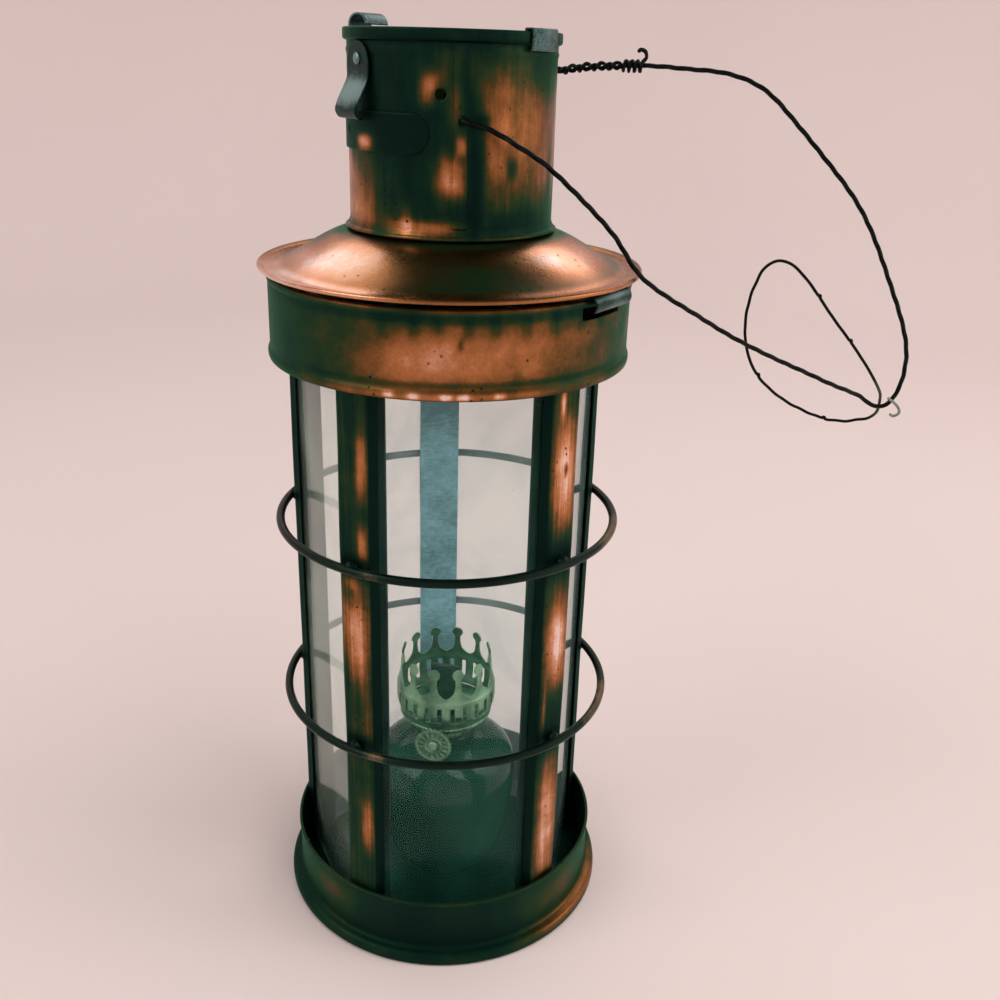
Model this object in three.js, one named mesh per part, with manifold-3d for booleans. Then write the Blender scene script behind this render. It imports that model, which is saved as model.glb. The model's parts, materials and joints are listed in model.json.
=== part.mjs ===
// Hanging lantern in aged copper sheet: a five-sided glazed cage in a shallow pan, two wire guard
// rings, a deep top band, a hinged hood with a short chimney, a stiff wire bail with a hanging loop,
// and a small oil lamp standing loose inside.
//
// Millimetres, +Z up. The origin is the centre of the pan floor's underside. Angles are degrees
// round the axis from the front (-Y) towards +X. A piece is drawn at the front and turned into place.

import * as THREE from 'three';
import { mergeVertices } from 'three/addons/utils/BufferGeometryUtils.js';
import Module from 'manifold-3d';

const wasm = await Module();
wasm.setup();

// ---------------------------------------------------------------- driving dimensions
const SHEET = 0.8;              // copper and tin sheet
const GAP = 0.3;                // between pieces that touch
const ROUND = 40;               // segments of the large turned pieces
const ROUND_SMALL = 28;         // and of the lamp's

const STILE_COUNT = 5;
const STILE_TURN = -31.7;       // where the first stile stands
const STILE_FACE_R = 74.2;      // axis to the stile's outer face
const STILE_FACE_W = 14.6;
const STILE_W = 20;             // across the two folded lips
const STILE_DEPTH = 4.8;        // from the face back to the lips

const PANE_T = 2;
const PANE_LAP = 3;             // how far a pane reaches in behind a lip
const PANE_CLEAR = 0.35;

const FLOOR_T = 1;
const PAN_CLEAR = 0.45;         // stile corner to pan wall
const PAN_H = 34;
const FOOT_BEAD = 5;            // how far the foot bead stands out from the pan wall
const FOOT_BEAD_H = 6.5;

const WIRE_R = 2;               // guard ring wire
const RING_STANDOFF = 1.45;     // stile corner to the ring's inner side
const RING_HEIGHTS = { lower: 114, upper: 203.5 };
const LUG_W = 6;
const LUG_H = 7;

const BAND_Z = 281;             // underside of the top band
const BAND_H = 35.5;
const BAND_CLEAR = 2.95;        // stile corner to band wall
const BEAD_R = 1.4;             // wired edge on top of the band
const PLATE_HOLE_R = 56;        // opening that the lamp is lifted through

const STRAP_W = 16;             // the strip that the hinge, ear and knuckle are cut from
const HINGE_AT = -120;
const CATCH_AT = 53.5;
const CATCH_W = 28;
const SLOT_AT = 51;
const SLOT_W = 27;
const KNUCKLE_CLEAR = 0.9;      // hinge knuckle to the wired edge
const CATCH_BORE_R = 3.1;
const SLOT_H = 5;
const SLOT_CLEAR = 0.8;

const HOOD_OVERHANG = 4;        // hood rim beyond the band wall
const HOOD_RISE = 16.3;
const HOOD_BEAD_R = 1.1;

const CHIMNEY_R = 42.5;
const CHIMNEY_H = 76.9;
const COLLAR_H = 6;
const CHIMNEY_RIM = 1.6;
const CHIMNEY_RIM_H = 4.5;
const SEAM_AT = [0.5, 8.4];

const EAR_AT = -57;
const EAR_REACH = 6.4;
const EAR_DROP = 11;            // from the ear's elbow to its tip
const PLATE_SPAN = [-82, -22];

const BAIL_R = 1.1;
const BAIL_AT = 5;              // the bail's holes are at this angle and opposite it
const BAIL_Z = 45;              // above the chimney's foot
const BAIL_HOLE_R = 2.4;
const WRAP_R = 0.9;
const LOOP_R = 0.8;

const FONT_R = 36.3;
const FONT_T = 2.2;
const NECK_R = 13;
const NECK_Z = 86;
const GALLERY_R = 25.2;
const GALLERY_RISE = 8.9;       // gallery's foot above the neck
const PETALS = 12;
const WICK_W = 14.5;
const WICK_T = 2;
const WINDER_AT = -12;
const WINDER_RISE = 3.6;        // spindle above the neck
const KNOB_R = 9.3;
const KNOB_CLEAR = 3.4;         // knob beyond the gallery

// ---------------------------------------------------------------- worked out from them
const HALF_SIDE = Math.PI / STILE_COUNT;
const CAGE_R = Math.hypot(STILE_FACE_R, STILE_FACE_W / 2);
const PAN_IN_R = CAGE_R + PAN_CLEAR;
const PAN_OUT_R = PAN_IN_R + SHEET;
const FOOT_R = PAN_OUT_R + FOOT_BEAD;
const RING_R = CAGE_R + RING_STANDOFF + WIRE_R;
const BAND_IN_R = CAGE_R + BAND_CLEAR;
const BAND_OUT_R = BAND_IN_R + SHEET;
const BAND_TOP = BAND_Z + BAND_H;
const BEAD_AT = { r: BAND_OUT_R - 0.64 * BEAD_R, z: BAND_TOP - BEAD_R };
const PLATE_Z = BAND_Z + 3;
const KNUCKLE_R = BEAD_R + KNUCKLE_CLEAR;
const HOOD_Z = BEAD_AT.z + KNUCKLE_R + SHEET + GAP;
const HOOD_R = BAND_OUT_R + HOOD_OVERHANG;
const COLLAR_R = CHIMNEY_R - SHEET - GAP;
const CHIMNEY_Z = HOOD_Z + HOOD_RISE + GAP;
const CHIMNEY_TOP = CHIMNEY_Z + CHIMNEY_H;
const PIVOT_Z = CHIMNEY_Z + BAIL_Z;
const GALLERY_Z = NECK_Z + GALLERY_RISE;
const WINDER_Z = NECK_Z + WINDER_RISE;
const KNOB_REACH = GALLERY_R + KNOB_CLEAR;

// ---------------------------------------------------------------- finishes
const finish = (color, roughness, metalness) =>
  new THREE.MeshStandardMaterial({ color, roughness, metalness });
const COPPER = finish(0x9a5a38, 0.42, 0.9);
const DARK_COPPER = finish(0x2c3a2a, 0.5, 0.8);
const STRAP_TIN = finish(0x35504a, 0.4, 0.85);
const BRONZE_WIRE = finish(0x2d3a2c, 0.45, 0.85);
const IRON_WIRE = finish(0x14201b, 0.55, 0.7);
const BRASS = finish(0x6f7f62, 0.4, 0.85);
const COTTON = finish(0xb9b09a, 0.95, 0);
const PANE_GLASS = finish(0xbfd6cf, 0.05, 0);
PANE_GLASS.transparent = true;
PANE_GLASS.opacity = 0.3;
const FONT_GLASS = finish(0x1f4a3a, 0.08, 0);
FONT_GLASS.transparent = true;
FONT_GLASS.opacity = 0.6;

// ---------------------------------------------------------------- making and joining solids
const radians = THREE.MathUtils.degToRad;

/** A closed geometry with shared corners merged, collapsed triangles dropped and faces outwards. */
function toSolid(geometry) {
  const bare = geometry.clone();
  bare.deleteAttribute('normal');
  bare.deleteAttribute('uv');
  const merged = mergeVertices(bare, 1e-4);
  const places = merged.attributes.position;
  const corners = [0, 1, 2].map(() => new THREE.Vector3());
  const triangles = [];
  let volume = 0;
  for (let i = 0; i < merged.index.count; i += 3) {
    const [a, b, c] = [0, 1, 2].map((k) => merged.index.getX(i + k));
    if (a === b || b === c || c === a) continue;
    triangles.push([a, b, c]);
    [a, b, c].forEach((v, k) => corners[k].fromBufferAttribute(places, v));
    volume += corners[0].dot(corners[1].clone().cross(corners[2]));
  }
  if (volume < 0) triangles.forEach((t) => t.reverse());
  return new wasm.Manifold(new wasm.Mesh({
    numProp: 3,
    vertProperties: Float32Array.from(places.array),
    triVerts: Uint32Array.from(triangles.flat()),
  }));
}

/** The geometry of a solid. */
function toGeometry(solid) {
  const { vertProperties, triVerts } = solid.getMesh();
  const geometry = new THREE.BufferGeometry();
  geometry.setAttribute('position', new THREE.Float32BufferAttribute(vertProperties, 3));
  geometry.setIndex(Array.from(triVerts));
  geometry.computeVertexNormals();
  return geometry;
}

/** A shape from a list of [x, y] corners. */
const outline = (corners) => new THREE.Shape(corners.map(([x, y]) => new THREE.Vector2(x, y)));

/** Points of an arc, from one angle to another in degrees. */
function arc(x, y, radius, from, to, steps) {
  return Array.from({ length: steps + 1 }, (_, i) => {
    const a = radians(from + ((to - from) * i) / steps);
    return [x + radius * Math.cos(a), y + radius * Math.sin(a)];
  });
}

/** A turned piece from a profile of [radius, height] corners. */
function turned(profile, segments = ROUND) {
  const ring = [...profile];
  const closesOnAxis = profile[0][0] === 0 && profile.at(-1)[0] === 0;
  if (!closesOnAxis) ring.push(profile[0]);
  const points = ring.map(([r, z]) => new THREE.Vector2(r, z));
  return toSolid(new THREE.LatheGeometry(points, segments).rotateX(Math.PI / 2));
}

/** A prism of a flat [x, y] shape between two heights. */
function upright(corners, low, high, turn = 0) {
  const prism = new THREE.ExtrudeGeometry(outline(corners), { depth: high - low, bevelEnabled: false });
  return toSolid(prism.translate(0, 0, low).rotateZ(radians(turn)));
}

/** A strip whose bent section is given in [radius, height], as wide as told, turned into place. */
function strip(section, width, turn = 0) {
  const prism = new THREE.ExtrudeGeometry(outline(section), { depth: width, bevelEnabled: false });
  const stand = new THREE.Matrix4().makeBasis(
    new THREE.Vector3(0, -1, 0),
    new THREE.Vector3(0, 0, 1),
    new THREE.Vector3(-1, 0, 0),
  );
  return toSolid(prism.translate(0, 0, -width / 2).applyMatrix4(stand).rotateZ(radians(turn)));
}

/** A prism that runs outwards, from one radius to another, of a shape in [sideways, height]. */
function outward(shape, from, to, turn = 0) {
  const prism = new THREE.ExtrudeGeometry(outline(shape), { depth: to - from, bevelEnabled: false });
  const stand = new THREE.Matrix4().makeBasis(
    new THREE.Vector3(1, 0, 0),
    new THREE.Vector3(0, 0, 1),
    new THREE.Vector3(0, -1, 0),
  );
  return toSolid(prism.translate(0, 0, from).applyMatrix4(stand).rotateZ(radians(turn)));
}

/** The part of a turned solid between two angles. */
function between(solid, from, to, reach = 120) {
  const wedge = [[0, 0], ...arc(0, 0, reach, from - 90, to - 90, 6)];
  return solid.intersect(upright(wedge, -20, CHIMNEY_TOP + 40));
}

/** A bent strip's section: a line of points given a thickness on its left-hand side. */
function thicken(line, thickness) {
  const points = line.map(([x, y]) => new THREE.Vector2(x, y));
  const offset = points.map((p, i) => {
    const before = points[Math.max(i - 1, 0)];
    const after = points[Math.min(i + 1, points.length - 1)];
    const first = p.clone().sub(i ? before : p).normalize();
    const second = after.clone().sub(i < points.length - 1 ? p : after).normalize();
    const along = first.add(second).normalize();
    const reference = after.clone().sub(i < points.length - 1 ? p : before).normalize();
    const mitre = Math.max(Math.abs(along.dot(reference)), 0.5);
    return [p.x - (along.y * thickness) / mitre, p.y + (along.x * thickness) / mitre];
  });
  return [...line, ...offset.reverse()];
}

/** Round wire along a smooth curve. */
function wire(curve, radius, steps, sides = 8) {
  const section = outline(arc(0, 0, radius, 0, 360 - 360 / sides, sides - 1));
  return toSolid(new THREE.ExtrudeGeometry(section, { steps, extrudePath: curve, bevelEnabled: false }));
}

const smooth = (points, closed = false) =>
  new THREE.CatmullRomCurve3(points.map((p) => new THREE.Vector3(...p)), closed, 'centripetal');

/** A round bar along any line, for pins and for drilling. */
function bar(from, to, radius, sides = 12) {
  const line = new THREE.LineCurve3(new THREE.Vector3(...from), new THREE.Vector3(...to));
  return wire(line, radius, 1, sides);
}

/** The point at an angle, a radius and a height. */
const at = (angle, radius, height) =>
  [radius * Math.sin(radians(angle)), -radius * Math.cos(radians(angle)), height];

const lantern = new THREE.Group();

function piece(name, solid, material) {
  const mesh = new THREE.Mesh(toGeometry(solid), material);
  mesh.name = name;
  lantern.add(mesh);
}

// ---------------------------------------------------------------- pan
function pan() {
  const top = PAN_H;
  const wall = [
    [PAN_IN_R, 0], [FOOT_R - 1, 0], [FOOT_R, 1.2], [FOOT_R, FOOT_BEAD_H - 2.4], [FOOT_R - 1.2, FOOT_BEAD_H - 0.8],
    [PAN_OUT_R + 0.6, FOOT_BEAD_H], [PAN_OUT_R, FOOT_BEAD_H + 1.5], [PAN_OUT_R, top - 2.4],
    [PAN_OUT_R + 0.5, top - 1.9], [PAN_OUT_R + 0.5, top - 0.4], [PAN_OUT_R, top], [PAN_IN_R, top],
  ];
  piece('pan_wall', turned(wall), DARK_COPPER);
  const floorR = PAN_IN_R - GAP;
  piece('pan_floor', turned([[0, 0], [floorR, 0], [floorR, FLOOR_T], [0, FLOOR_T]]), DARK_COPPER);
}

// ---------------------------------------------------------------- glazed cage
const CAGE_LOW = FLOOR_T + GAP;
const CAGE_HIGH = PLATE_Z - GAP;

/** Distance from the axis to a pane's outer side, which lies under the inner corner of a lip. */
function paneDistance() {
  const spread = (STILE_W - STILE_FACE_W) / 2;
  const slope = Math.hypot(spread, STILE_DEPTH);
  const side = STILE_W / 2 - (SHEET * STILE_DEPTH) / slope;
  const lip = STILE_FACE_R - STILE_DEPTH - (SHEET * spread) / slope;
  return side * Math.sin(HALF_SIDE) + lip * Math.cos(HALF_SIDE) - PANE_CLEAR;
}

function stile(name, turn) {
  const lip = STILE_FACE_R - STILE_DEPTH;
  const half = STILE_FACE_W / 2;
  const bend = [[STILE_W / 2, -lip], [half, -STILE_FACE_R], [-half, -STILE_FACE_R], [-STILE_W / 2, -lip]];
  piece(name, upright(thicken(bend, -SHEET), CAGE_LOW, CAGE_HIGH, turn), COPPER);
}

/** The bar behind a stile: a flat that the panes rest on, with a web soldered into the stile. */
function glazingBar(name, turn) {
  const paneBack = paneDistance() - PANE_T;
  const flat = (paneBack - (STILE_W / 2) * Math.sin(HALF_SIDE)) / Math.cos(HALF_SIDE) - GAP;
  const web = STILE_FACE_R - SHEET - GAP;
  const half = STILE_W / 2;
  const section = [
    [-half, -flat], [-1.2, -flat], [-1.2, -web], [1.2, -web], [1.2, -flat], [half, -flat],
    [half, -flat + 1], [-half, -flat + 1],
  ];
  piece(name, upright(section, CAGE_LOW, CAGE_HIGH, turn), DARK_COPPER);
}

function pane(name, turn) {
  const lip = STILE_FACE_R - STILE_DEPTH;
  const half = lip * Math.sin(HALF_SIDE) - (STILE_W / 2) * Math.cos(HALF_SIDE) + PANE_LAP;
  const out = paneDistance();
  const section = [[-half, -out], [half, -out], [half, PANE_T - out], [-half, PANE_T - out]];
  piece(name, upright(section, CAGE_LOW + 1, CAGE_HIGH - 1, turn), PANE_GLASS);
}

/** A lug soldered to a stile that cradles the guard ring. */
function ringLug(name, turn, z) {
  const back = STILE_FACE_R + GAP;
  const front = RING_R - 0.4;
  const cradle = arc(RING_R, z, WIRE_R + GAP, 258, 102, 6);
  const section = [
    [back, z - LUG_H / 2], [front, z - LUG_H / 2], ...cradle, [front, z + LUG_H / 2], [back, z + LUG_H / 2],
  ];
  piece(name, strip(section, LUG_W, turn), BRONZE_WIRE);
}

function guardRing(name, z) {
  const ring = new THREE.TorusGeometry(RING_R, WIRE_R, 8, ROUND).translate(0, 0, z);
  piece(name, toSolid(ring), BRONZE_WIRE);
}

function cage() {
  const step = 360 / STILE_COUNT;
  for (let i = 0; i < STILE_COUNT; i += 1) {
    const turn = STILE_TURN + i * step;
    stile(`stile_${i + 1}`, turn);
    glazingBar(`glazing_bar_${i + 1}`, turn);
    pane(`glass_pane_${i + 1}`, turn + step / 2);
    for (const [level, z] of Object.entries(RING_HEIGHTS)) {
      ringLug(`ring_lug_${level}_${i + 1}`, turn, z);
    }
  }
  for (const [level, z] of Object.entries(RING_HEIGHTS)) guardRing(`guard_ring_${level}`, z);
}

// ---------------------------------------------------------------- top band
/** Window under the wired edge that a strap passes through. */
function bandWindow(turn, width) {
  const half = width / 2;
  const high = BEAD_AT.z - BEAD_R - 0.1;
  const low = high - SLOT_H;
  return outward([[-half, low], [half, low], [half, high], [-half, high]], BAND_IN_R - 4, BAND_OUT_R + 4, turn);
}

function topBand() {
  const edge = arc(BEAD_AT.r, BEAD_AT.z, BEAD_R, -50, 230, 7);
  const profile = [
    [BAND_IN_R, BAND_Z], [BAND_OUT_R + 0.5, BAND_Z], [BAND_OUT_R + 0.9, BAND_Z + 0.8],
    [BAND_OUT_R + 0.9, BAND_Z + 3], [BAND_OUT_R, BAND_Z + 4], ...edge, [BAND_IN_R, BEAD_AT.z - BEAD_R - 0.2],
  ];
  const hingeWindow = bandWindow(HINGE_AT, STRAP_W + SLOT_CLEAR * 2);
  const band = turned(profile).subtract(hingeWindow).subtract(bandWindow(SLOT_AT, SLOT_W));
  piece('top_band', band, COPPER);
  const outer = BAND_IN_R - GAP;
  const plate = [
    [PLATE_HOLE_R, PLATE_Z], [outer, PLATE_Z], [outer, PLATE_Z + SHEET],
    [PLATE_HOLE_R + SHEET, PLATE_Z + SHEET], [PLATE_HOLE_R + SHEET, PLATE_Z + 3], [PLATE_HOLE_R, PLATE_Z + 3],
  ];
  piece('top_plate', turned(plate), DARK_COPPER);
}

// ---------------------------------------------------------------- hood and chimney
/** Height of the dome's upper side over the flange, falling from the chimney out to the flange. */
function domeRise(radius) {
  const inner = COLLAR_R;
  const outer = HOOD_R - 6;
  const s = THREE.MathUtils.clamp((outer - radius) / (outer - inner), 0, 1);
  return SHEET + (HOOD_RISE - SHEET) * (0.25 * s + 0.75 * Math.sin((s * Math.PI) / 2) ** 1.6);
}

function hood() {
  const bead = arc(HOOD_R - HOOD_BEAD_R, HOOD_Z + HOOD_BEAD_R, HOOD_BEAD_R, -90, 90, 4);
  const steps = 6;
  const radii = Array.from({ length: steps + 1 }, (_, i) => HOOD_R - 6 - ((HOOD_R - 6 - COLLAR_R) * i) / steps);
  const above = radii.map((r) => [r, HOOD_Z + domeRise(r)]);
  const below = radii.slice(0, -1).map((r) => [r, HOOD_Z + domeRise(r) - SHEET]).reverse();
  const collarTop = HOOD_Z + HOOD_RISE + COLLAR_H;
  const profile = [
    ...bead, [HOOD_R - 2.6, HOOD_Z + SHEET], ...above, [COLLAR_R, collarTop], [COLLAR_R - SHEET, collarTop],
    [COLLAR_R - SHEET, HOOD_Z + HOOD_RISE - SHEET], ...below, [HOOD_R - 2.6, HOOD_Z],
  ];
  piece('hood_dome', turned(profile), COPPER);
}

/** A short round drill through the chimney wall. */
const wallDrill = (angle, z, radius) =>
  bar(at(angle, CHIMNEY_R - 5, z), at(angle, CHIMNEY_R + 5, z), radius, 10);

function chimney() {
  const foot = CHIMNEY_Z;
  const top = CHIMNEY_TOP;
  const inner = CHIMNEY_R - SHEET;
  const rimR = CHIMNEY_R + CHIMNEY_RIM;
  const profile = [
    [inner, foot + 0.6], [CHIMNEY_R + 2.1, foot], [CHIMNEY_R + 2.5, foot + 0.5], [CHIMNEY_R + 2.1, foot + 1],
    [CHIMNEY_R + 0.7, foot + 2], [CHIMNEY_R, foot + 4], [CHIMNEY_R, top - CHIMNEY_RIM_H],
    [rimR - 0.2, top - CHIMNEY_RIM_H + 0.4], [rimR, top - 0.6], [rimR - 0.5, top], [inner, top],
  ];
  const holes = [
    wallDrill(BAIL_AT, PIVOT_Z, BAIL_HOLE_R),
    wallDrill(BAIL_AT + 180, PIVOT_Z, BAIL_HOLE_R),
    wallDrill(-6, PIVOT_Z + 9, 2.2),
  ];
  piece('chimney_tube', holes.reduce((tube, hole) => tube.subtract(hole), turned(profile)), COPPER);

  const lap = turned([
    [CHIMNEY_R + GAP, foot + 5], [CHIMNEY_R + GAP + SHEET, foot + 5],
    [CHIMNEY_R + GAP + SHEET, top - CHIMNEY_RIM_H - 1], [CHIMNEY_R + GAP, top - CHIMNEY_RIM_H - 1],
  ]);
  piece('chimney_seam', between(lap, ...SEAM_AT).subtract(holes[0]), COPPER);
}

/** Clip of the lost cap, folded over the chimney's rim. */
function capClip() {
  const rimR = CHIMNEY_R + CHIMNEY_RIM + GAP;
  const inner = CHIMNEY_R - SHEET - GAP;
  const top = CHIMNEY_TOP + GAP;
  const fold = [[inner, top - 5], [inner, top], [rimR, top], [rimR, top - 6.5], [rimR - 0.7, top - 7.4]];
  const section = turned(thicken(fold, SHEET));
  piece('cap_clip', between(section, 41.5, 63.5), STRAP_TIN);
}

/** Hinge half of the lost cap: a half round knuckle that stands on the rim. */
function capKnuckle() {
  const outer = CHIMNEY_R + CHIMNEY_RIM + GAP;
  const radius = 3.7;
  const centre = outer - radius;
  const rise = CHIMNEY_TOP + 1.2;
  const line = [[outer, CHIMNEY_TOP - 3.5], ...arc(centre, rise, radius, 0, 180, 8)];
  piece('cap_knuckle', strip(thicken(line, -SHEET), STRAP_W, HINGE_AT), STRAP_TIN);
}

/** Ear riveted below the rim: flat on the chimney, bent outwards and curled under. */
function ear() {
  const flat = CHIMNEY_R + GAP;
  const top = CHIMNEY_TOP - CHIMNEY_RIM_H - 0.5;
  const elbow = top - 13;
  const tip = elbow - EAR_DROP;
  const line = [
    [flat, top], [flat, elbow], [flat + EAR_REACH - 1.2, tip + 1.6], [flat + EAR_REACH, tip - 1.4],
    [flat + EAR_REACH - 1.6, tip - 4], [flat + EAR_REACH - 4.6, tip - 4.2],
  ];
  const half = STRAP_W / 2;
  const face = [[-half, tip - 8], [half, tip - 8], ...arc(0, top - half, half, 0, 180, 8)];
  const strap = strip(thicken(line, SHEET), STRAP_W, EAR_AT);
  const rivetZ = top - 6.5;
  const hole = bar(at(EAR_AT, flat - 2, rivetZ), at(EAR_AT, flat + 4, rivetZ), 1.4, 10);
  piece('ear_strap', strap.intersect(outward(face, flat - 2, flat + 20, EAR_AT)).subtract(hole), STRAP_TIN);

  const head = turned([[0, 0], [2.4, 0], [2.2, 0.6], [1.3, 1.1], [0, 1.2]], 12);
  const shank = turned([[0, -1], [1.1, -1], [1.1, 0.2], [0, 0.2]], 12);
  const rivet = new THREE.Group();
  rivet.rotation.set(0, 0, radians(EAR_AT));
  const mesh = new THREE.Mesh(toGeometry(head.add(shank)), STRAP_TIN);
  mesh.name = 'ear_rivet';
  mesh.rotation.x = Math.PI / 2;
  mesh.position.set(0, -(flat + SHEET + GAP), rivetZ);
  rivet.add(mesh);
  lantern.add(rivet);
}

/** Round-ended strap laid flat round the chimney below the ear. */
function sidePlate() {
  const low = PIVOT_Z - 13;
  const high = low + 15;
  const inner = CHIMNEY_R + GAP;
  const shell = turned([[inner, low], [inner + 0.7, low], [inner + 0.7, high], [inner, high]]);
  const middle = (low + high) / 2;
  const round = bar(at(PLATE_SPAN[1], inner - 5, middle), at(PLATE_SPAN[1], inner + 5, middle), 7.5, 20);
  const end = between(shell.intersect(round), PLATE_SPAN[1] - 1, PLATE_SPAN[1] + 20);
  piece('side_plate', between(shell, ...PLATE_SPAN).add(end), STRAP_TIN);
}

/** A strap under the hood's flange that is curled round the band's wired edge. */
function curledStrap(name, turn, width, radius, low, stopAt) {
  const centre = { r: BEAD_AT.r, z: HOOD_Z - GAP - SHEET - radius };
  const curl = arc(centre.r, centre.z, radius, stopAt, 90, 10);
  const leaf = [centre.r - low, HOOD_Z - GAP - SHEET];
  piece(name, strip(thicken([...curl, leaf], -SHEET), width, turn), STRAP_TIN);
}

function hoodFittings() {
  capClip();
  capKnuckle();
  ear();
  sidePlate();
  curledStrap('hinge_strap', HINGE_AT, STRAP_W, KNUCKLE_R, 14, -150);
  curledStrap('catch_strap', CATCH_AT, CATCH_W, CATCH_BORE_R, 14, -50);
}

// ---------------------------------------------------------------- bail and hanging loop
/** The bail's two ends lie on its pivot line and are hooked upwards inside the chimney. */
function bailEnd(angle) {
  const inside = CHIMNEY_R - 6;
  return [
    at(angle, inside - 2, PIVOT_Z + 8), at(angle, inside - 0.6, PIVOT_Z + 2), at(angle, inside + 1.5, PIVOT_Z),
    at(angle, CHIMNEY_R, PIVOT_Z), at(angle, CHIMNEY_R + 3, PIVOT_Z),
  ];
}

/** The wire's shape was drawn for a hood, a chimney and a fall of these sizes, and stretches with them. */
const DRAWN = { hoodR: 82.3, rimR: 44.1, fall: 61.6 };
const BAIL_SPREAD = HOOD_R / DRAWN.hoodR;
const BAIL_SIDE = (CHIMNEY_R + CHIMNEY_RIM) / DRAWN.rimR;
const BAIL_FALL = (PIVOT_Z - HOOD_Z) / DRAWN.fall;

/** A point of the wire from its place outwards, sideways and above the pivot on the drawn lantern.
 *  Near the chimney it keeps to the chimney's side, and past the hood's rim it spreads with the hood. */
function wirePoint([out, side, rise]) {
  const past = THREE.MathUtils.clamp((out - 45) / 30, 0, 1);
  const sideways = THREE.MathUtils.lerp(BAIL_SIDE, BAIL_SPREAD, past);
  return [out * BAIL_SPREAD, side * sideways, PIVOT_Z + rise * BAIL_FALL];
}

const BAIL_SHAPE = [
  [8, -46.9, -1], [15, -46.6, -3.1], [27, -46.2, -9.6], [36, -44.5, -15.1], [51, -40, -28.1],
  [64, -35, -41.3], [76, -31, -56.9], [90, -27, -67.6], [110, -21, -80.1], [141, -13, -96.1],
  [168, -7, -108.6], [188, -2.4, -116.5], [197, 0, -122.5], [203, 0, -121.5], [206.8, -1, -114.1],
  [208, -1, -104.1], [206, -1, -92.1], [197, 1, -69.1], [186, 3, -47.1], [170, 7, -24.1], [148, 12, -1.1],
  [132, 16, 12.9], [117, 19.5, 18.7], [97, 25, 19.9], [64, 35.6, 19.7], [46, 44, 16.8], [30, 48.6, 11.3],
  [14, 48.2, 4.4], [1, 47.2, 0.8],
];

const BAIL_ROUTE = [...bailEnd(BAIL_AT), ...BAIL_SHAPE.map(wirePoint), ...bailEnd(BAIL_AT + 180).reverse()];

/** The loop's shape, from the low end of the bail that it hangs on. */
const LOOP_SHAPE = [
  [-1, 0.4, 5.8], [0.4, 3, 0.8], [-1.5, 1, -4.2], [-11, 0, -7], [-23, 0, -7], [-37, 0, -2.2], [-49, 0, 4.4],
  [-60, 0, 14.4], [-66, 0, 26.4], [-68, 0, 40.4], [-65.5, 0, 55.4], [-60.5, 0, 64.2], [-53, 0, 65.4],
  [-45, 0, 60], [-28, 0, 40.4], [-16, 0, 26.8], [-6, 0, 14],
];

const BAIL_LOW = wirePoint([200, 0, -122.5]);
const LOOP_ROUTE = LOOP_SHAPE.map((offset) => offset.map((value, axis) => BAIL_LOW[axis] + value));

/** Spare wire wound round one leg of the bail, its end left standing up. */
function wrapRoute(curve) {
  const turns = 6;
  const stepsPerTurn = 8;
  const steps = turns * stepsPerTurn;
  const radius = BAIL_R + WRAP_R + GAP;
  const up = new THREE.Vector3(0, 0, 1);
  const [from, to] = [0.812, 0.878];
  const points = Array.from({ length: steps + 1 }, (_, i) => {
    const u = to - ((to - from) * i) / steps;
    const turn = (i / stepsPerTurn) * 2 * Math.PI;
    const along = curve.getTangentAt(u);
    const side = new THREE.Vector3().crossVectors(along, up).normalize();
    const over = new THREE.Vector3().crossVectors(side, along);
    return curve.getPointAt(u)
      .addScaledVector(side, radius * Math.sin(turn))
      .addScaledVector(over, radius * Math.cos(turn));
  });
  const last = points.at(-1).clone();
  points.push(last.clone().add(new THREE.Vector3(1.6, -0.8, 1.4)), last.add(new THREE.Vector3(2.6, -1.2, 4.2)));
  return new THREE.CatmullRomCurve3(points, false, 'centripetal');
}

function handle() {
  const route = smooth(BAIL_ROUTE);
  piece('bail_wire', wire(route, BAIL_R, 76), IRON_WIRE);
  piece('bail_wrap', wire(wrapRoute(route), WRAP_R, 54, 6), IRON_WIRE);
  piece('hang_loop', wire(smooth(LOOP_ROUTE, true), LOOP_R, 36), IRON_WIRE);
}

// ---------------------------------------------------------------- lamp
function font() {
  const foot = FLOOR_T + GAP;
  const side = [
    [0.47, 0], [0.58, 0.02], [0.75, 0.125], [0.88, 0.31], [0.973, 0.52], [1, 0.69], [0.95, 0.81], [0.8, 0.89],
    [0.58, 0.945],
  ];
  const height = NECK_Z - 2 - foot;
  const outer = side.map(([r, h]) => [r * FONT_R, foot + h * height]);
  const inner = side.slice(1).map(([r, h]) => [r * FONT_R - FONT_T, foot + FONT_T + h * (height - FONT_T)]);
  const profile = [
    [0, foot], ...outer, [NECK_R, NECK_Z - 2.5], [NECK_R, NECK_Z], [NECK_R - FONT_T, NECK_Z],
    [NECK_R - FONT_T, NECK_Z - 3.5], ...inner.reverse(), [0, foot + FONT_T],
  ];
  piece('font', turned(profile, ROUND_SMALL), FONT_GLASS);
  const bore = NECK_R + GAP;
  const collar = [
    [bore, NECK_Z - 2.2], [bore + 1.6, NECK_Z - 2.2], [bore + 1.6, NECK_Z + 0.9], [NECK_R - 1.6, NECK_Z + 0.9],
    [NECK_R - 1.6, NECK_Z + GAP], [bore, NECK_Z + GAP],
  ];
  piece('font_collar', turned(collar, ROUND_SMALL), BRASS);
}

/** The winder's spindle lies along this angle. */
const winderPoint = (radius) => at(WINDER_AT, radius, WINDER_Z);

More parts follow.
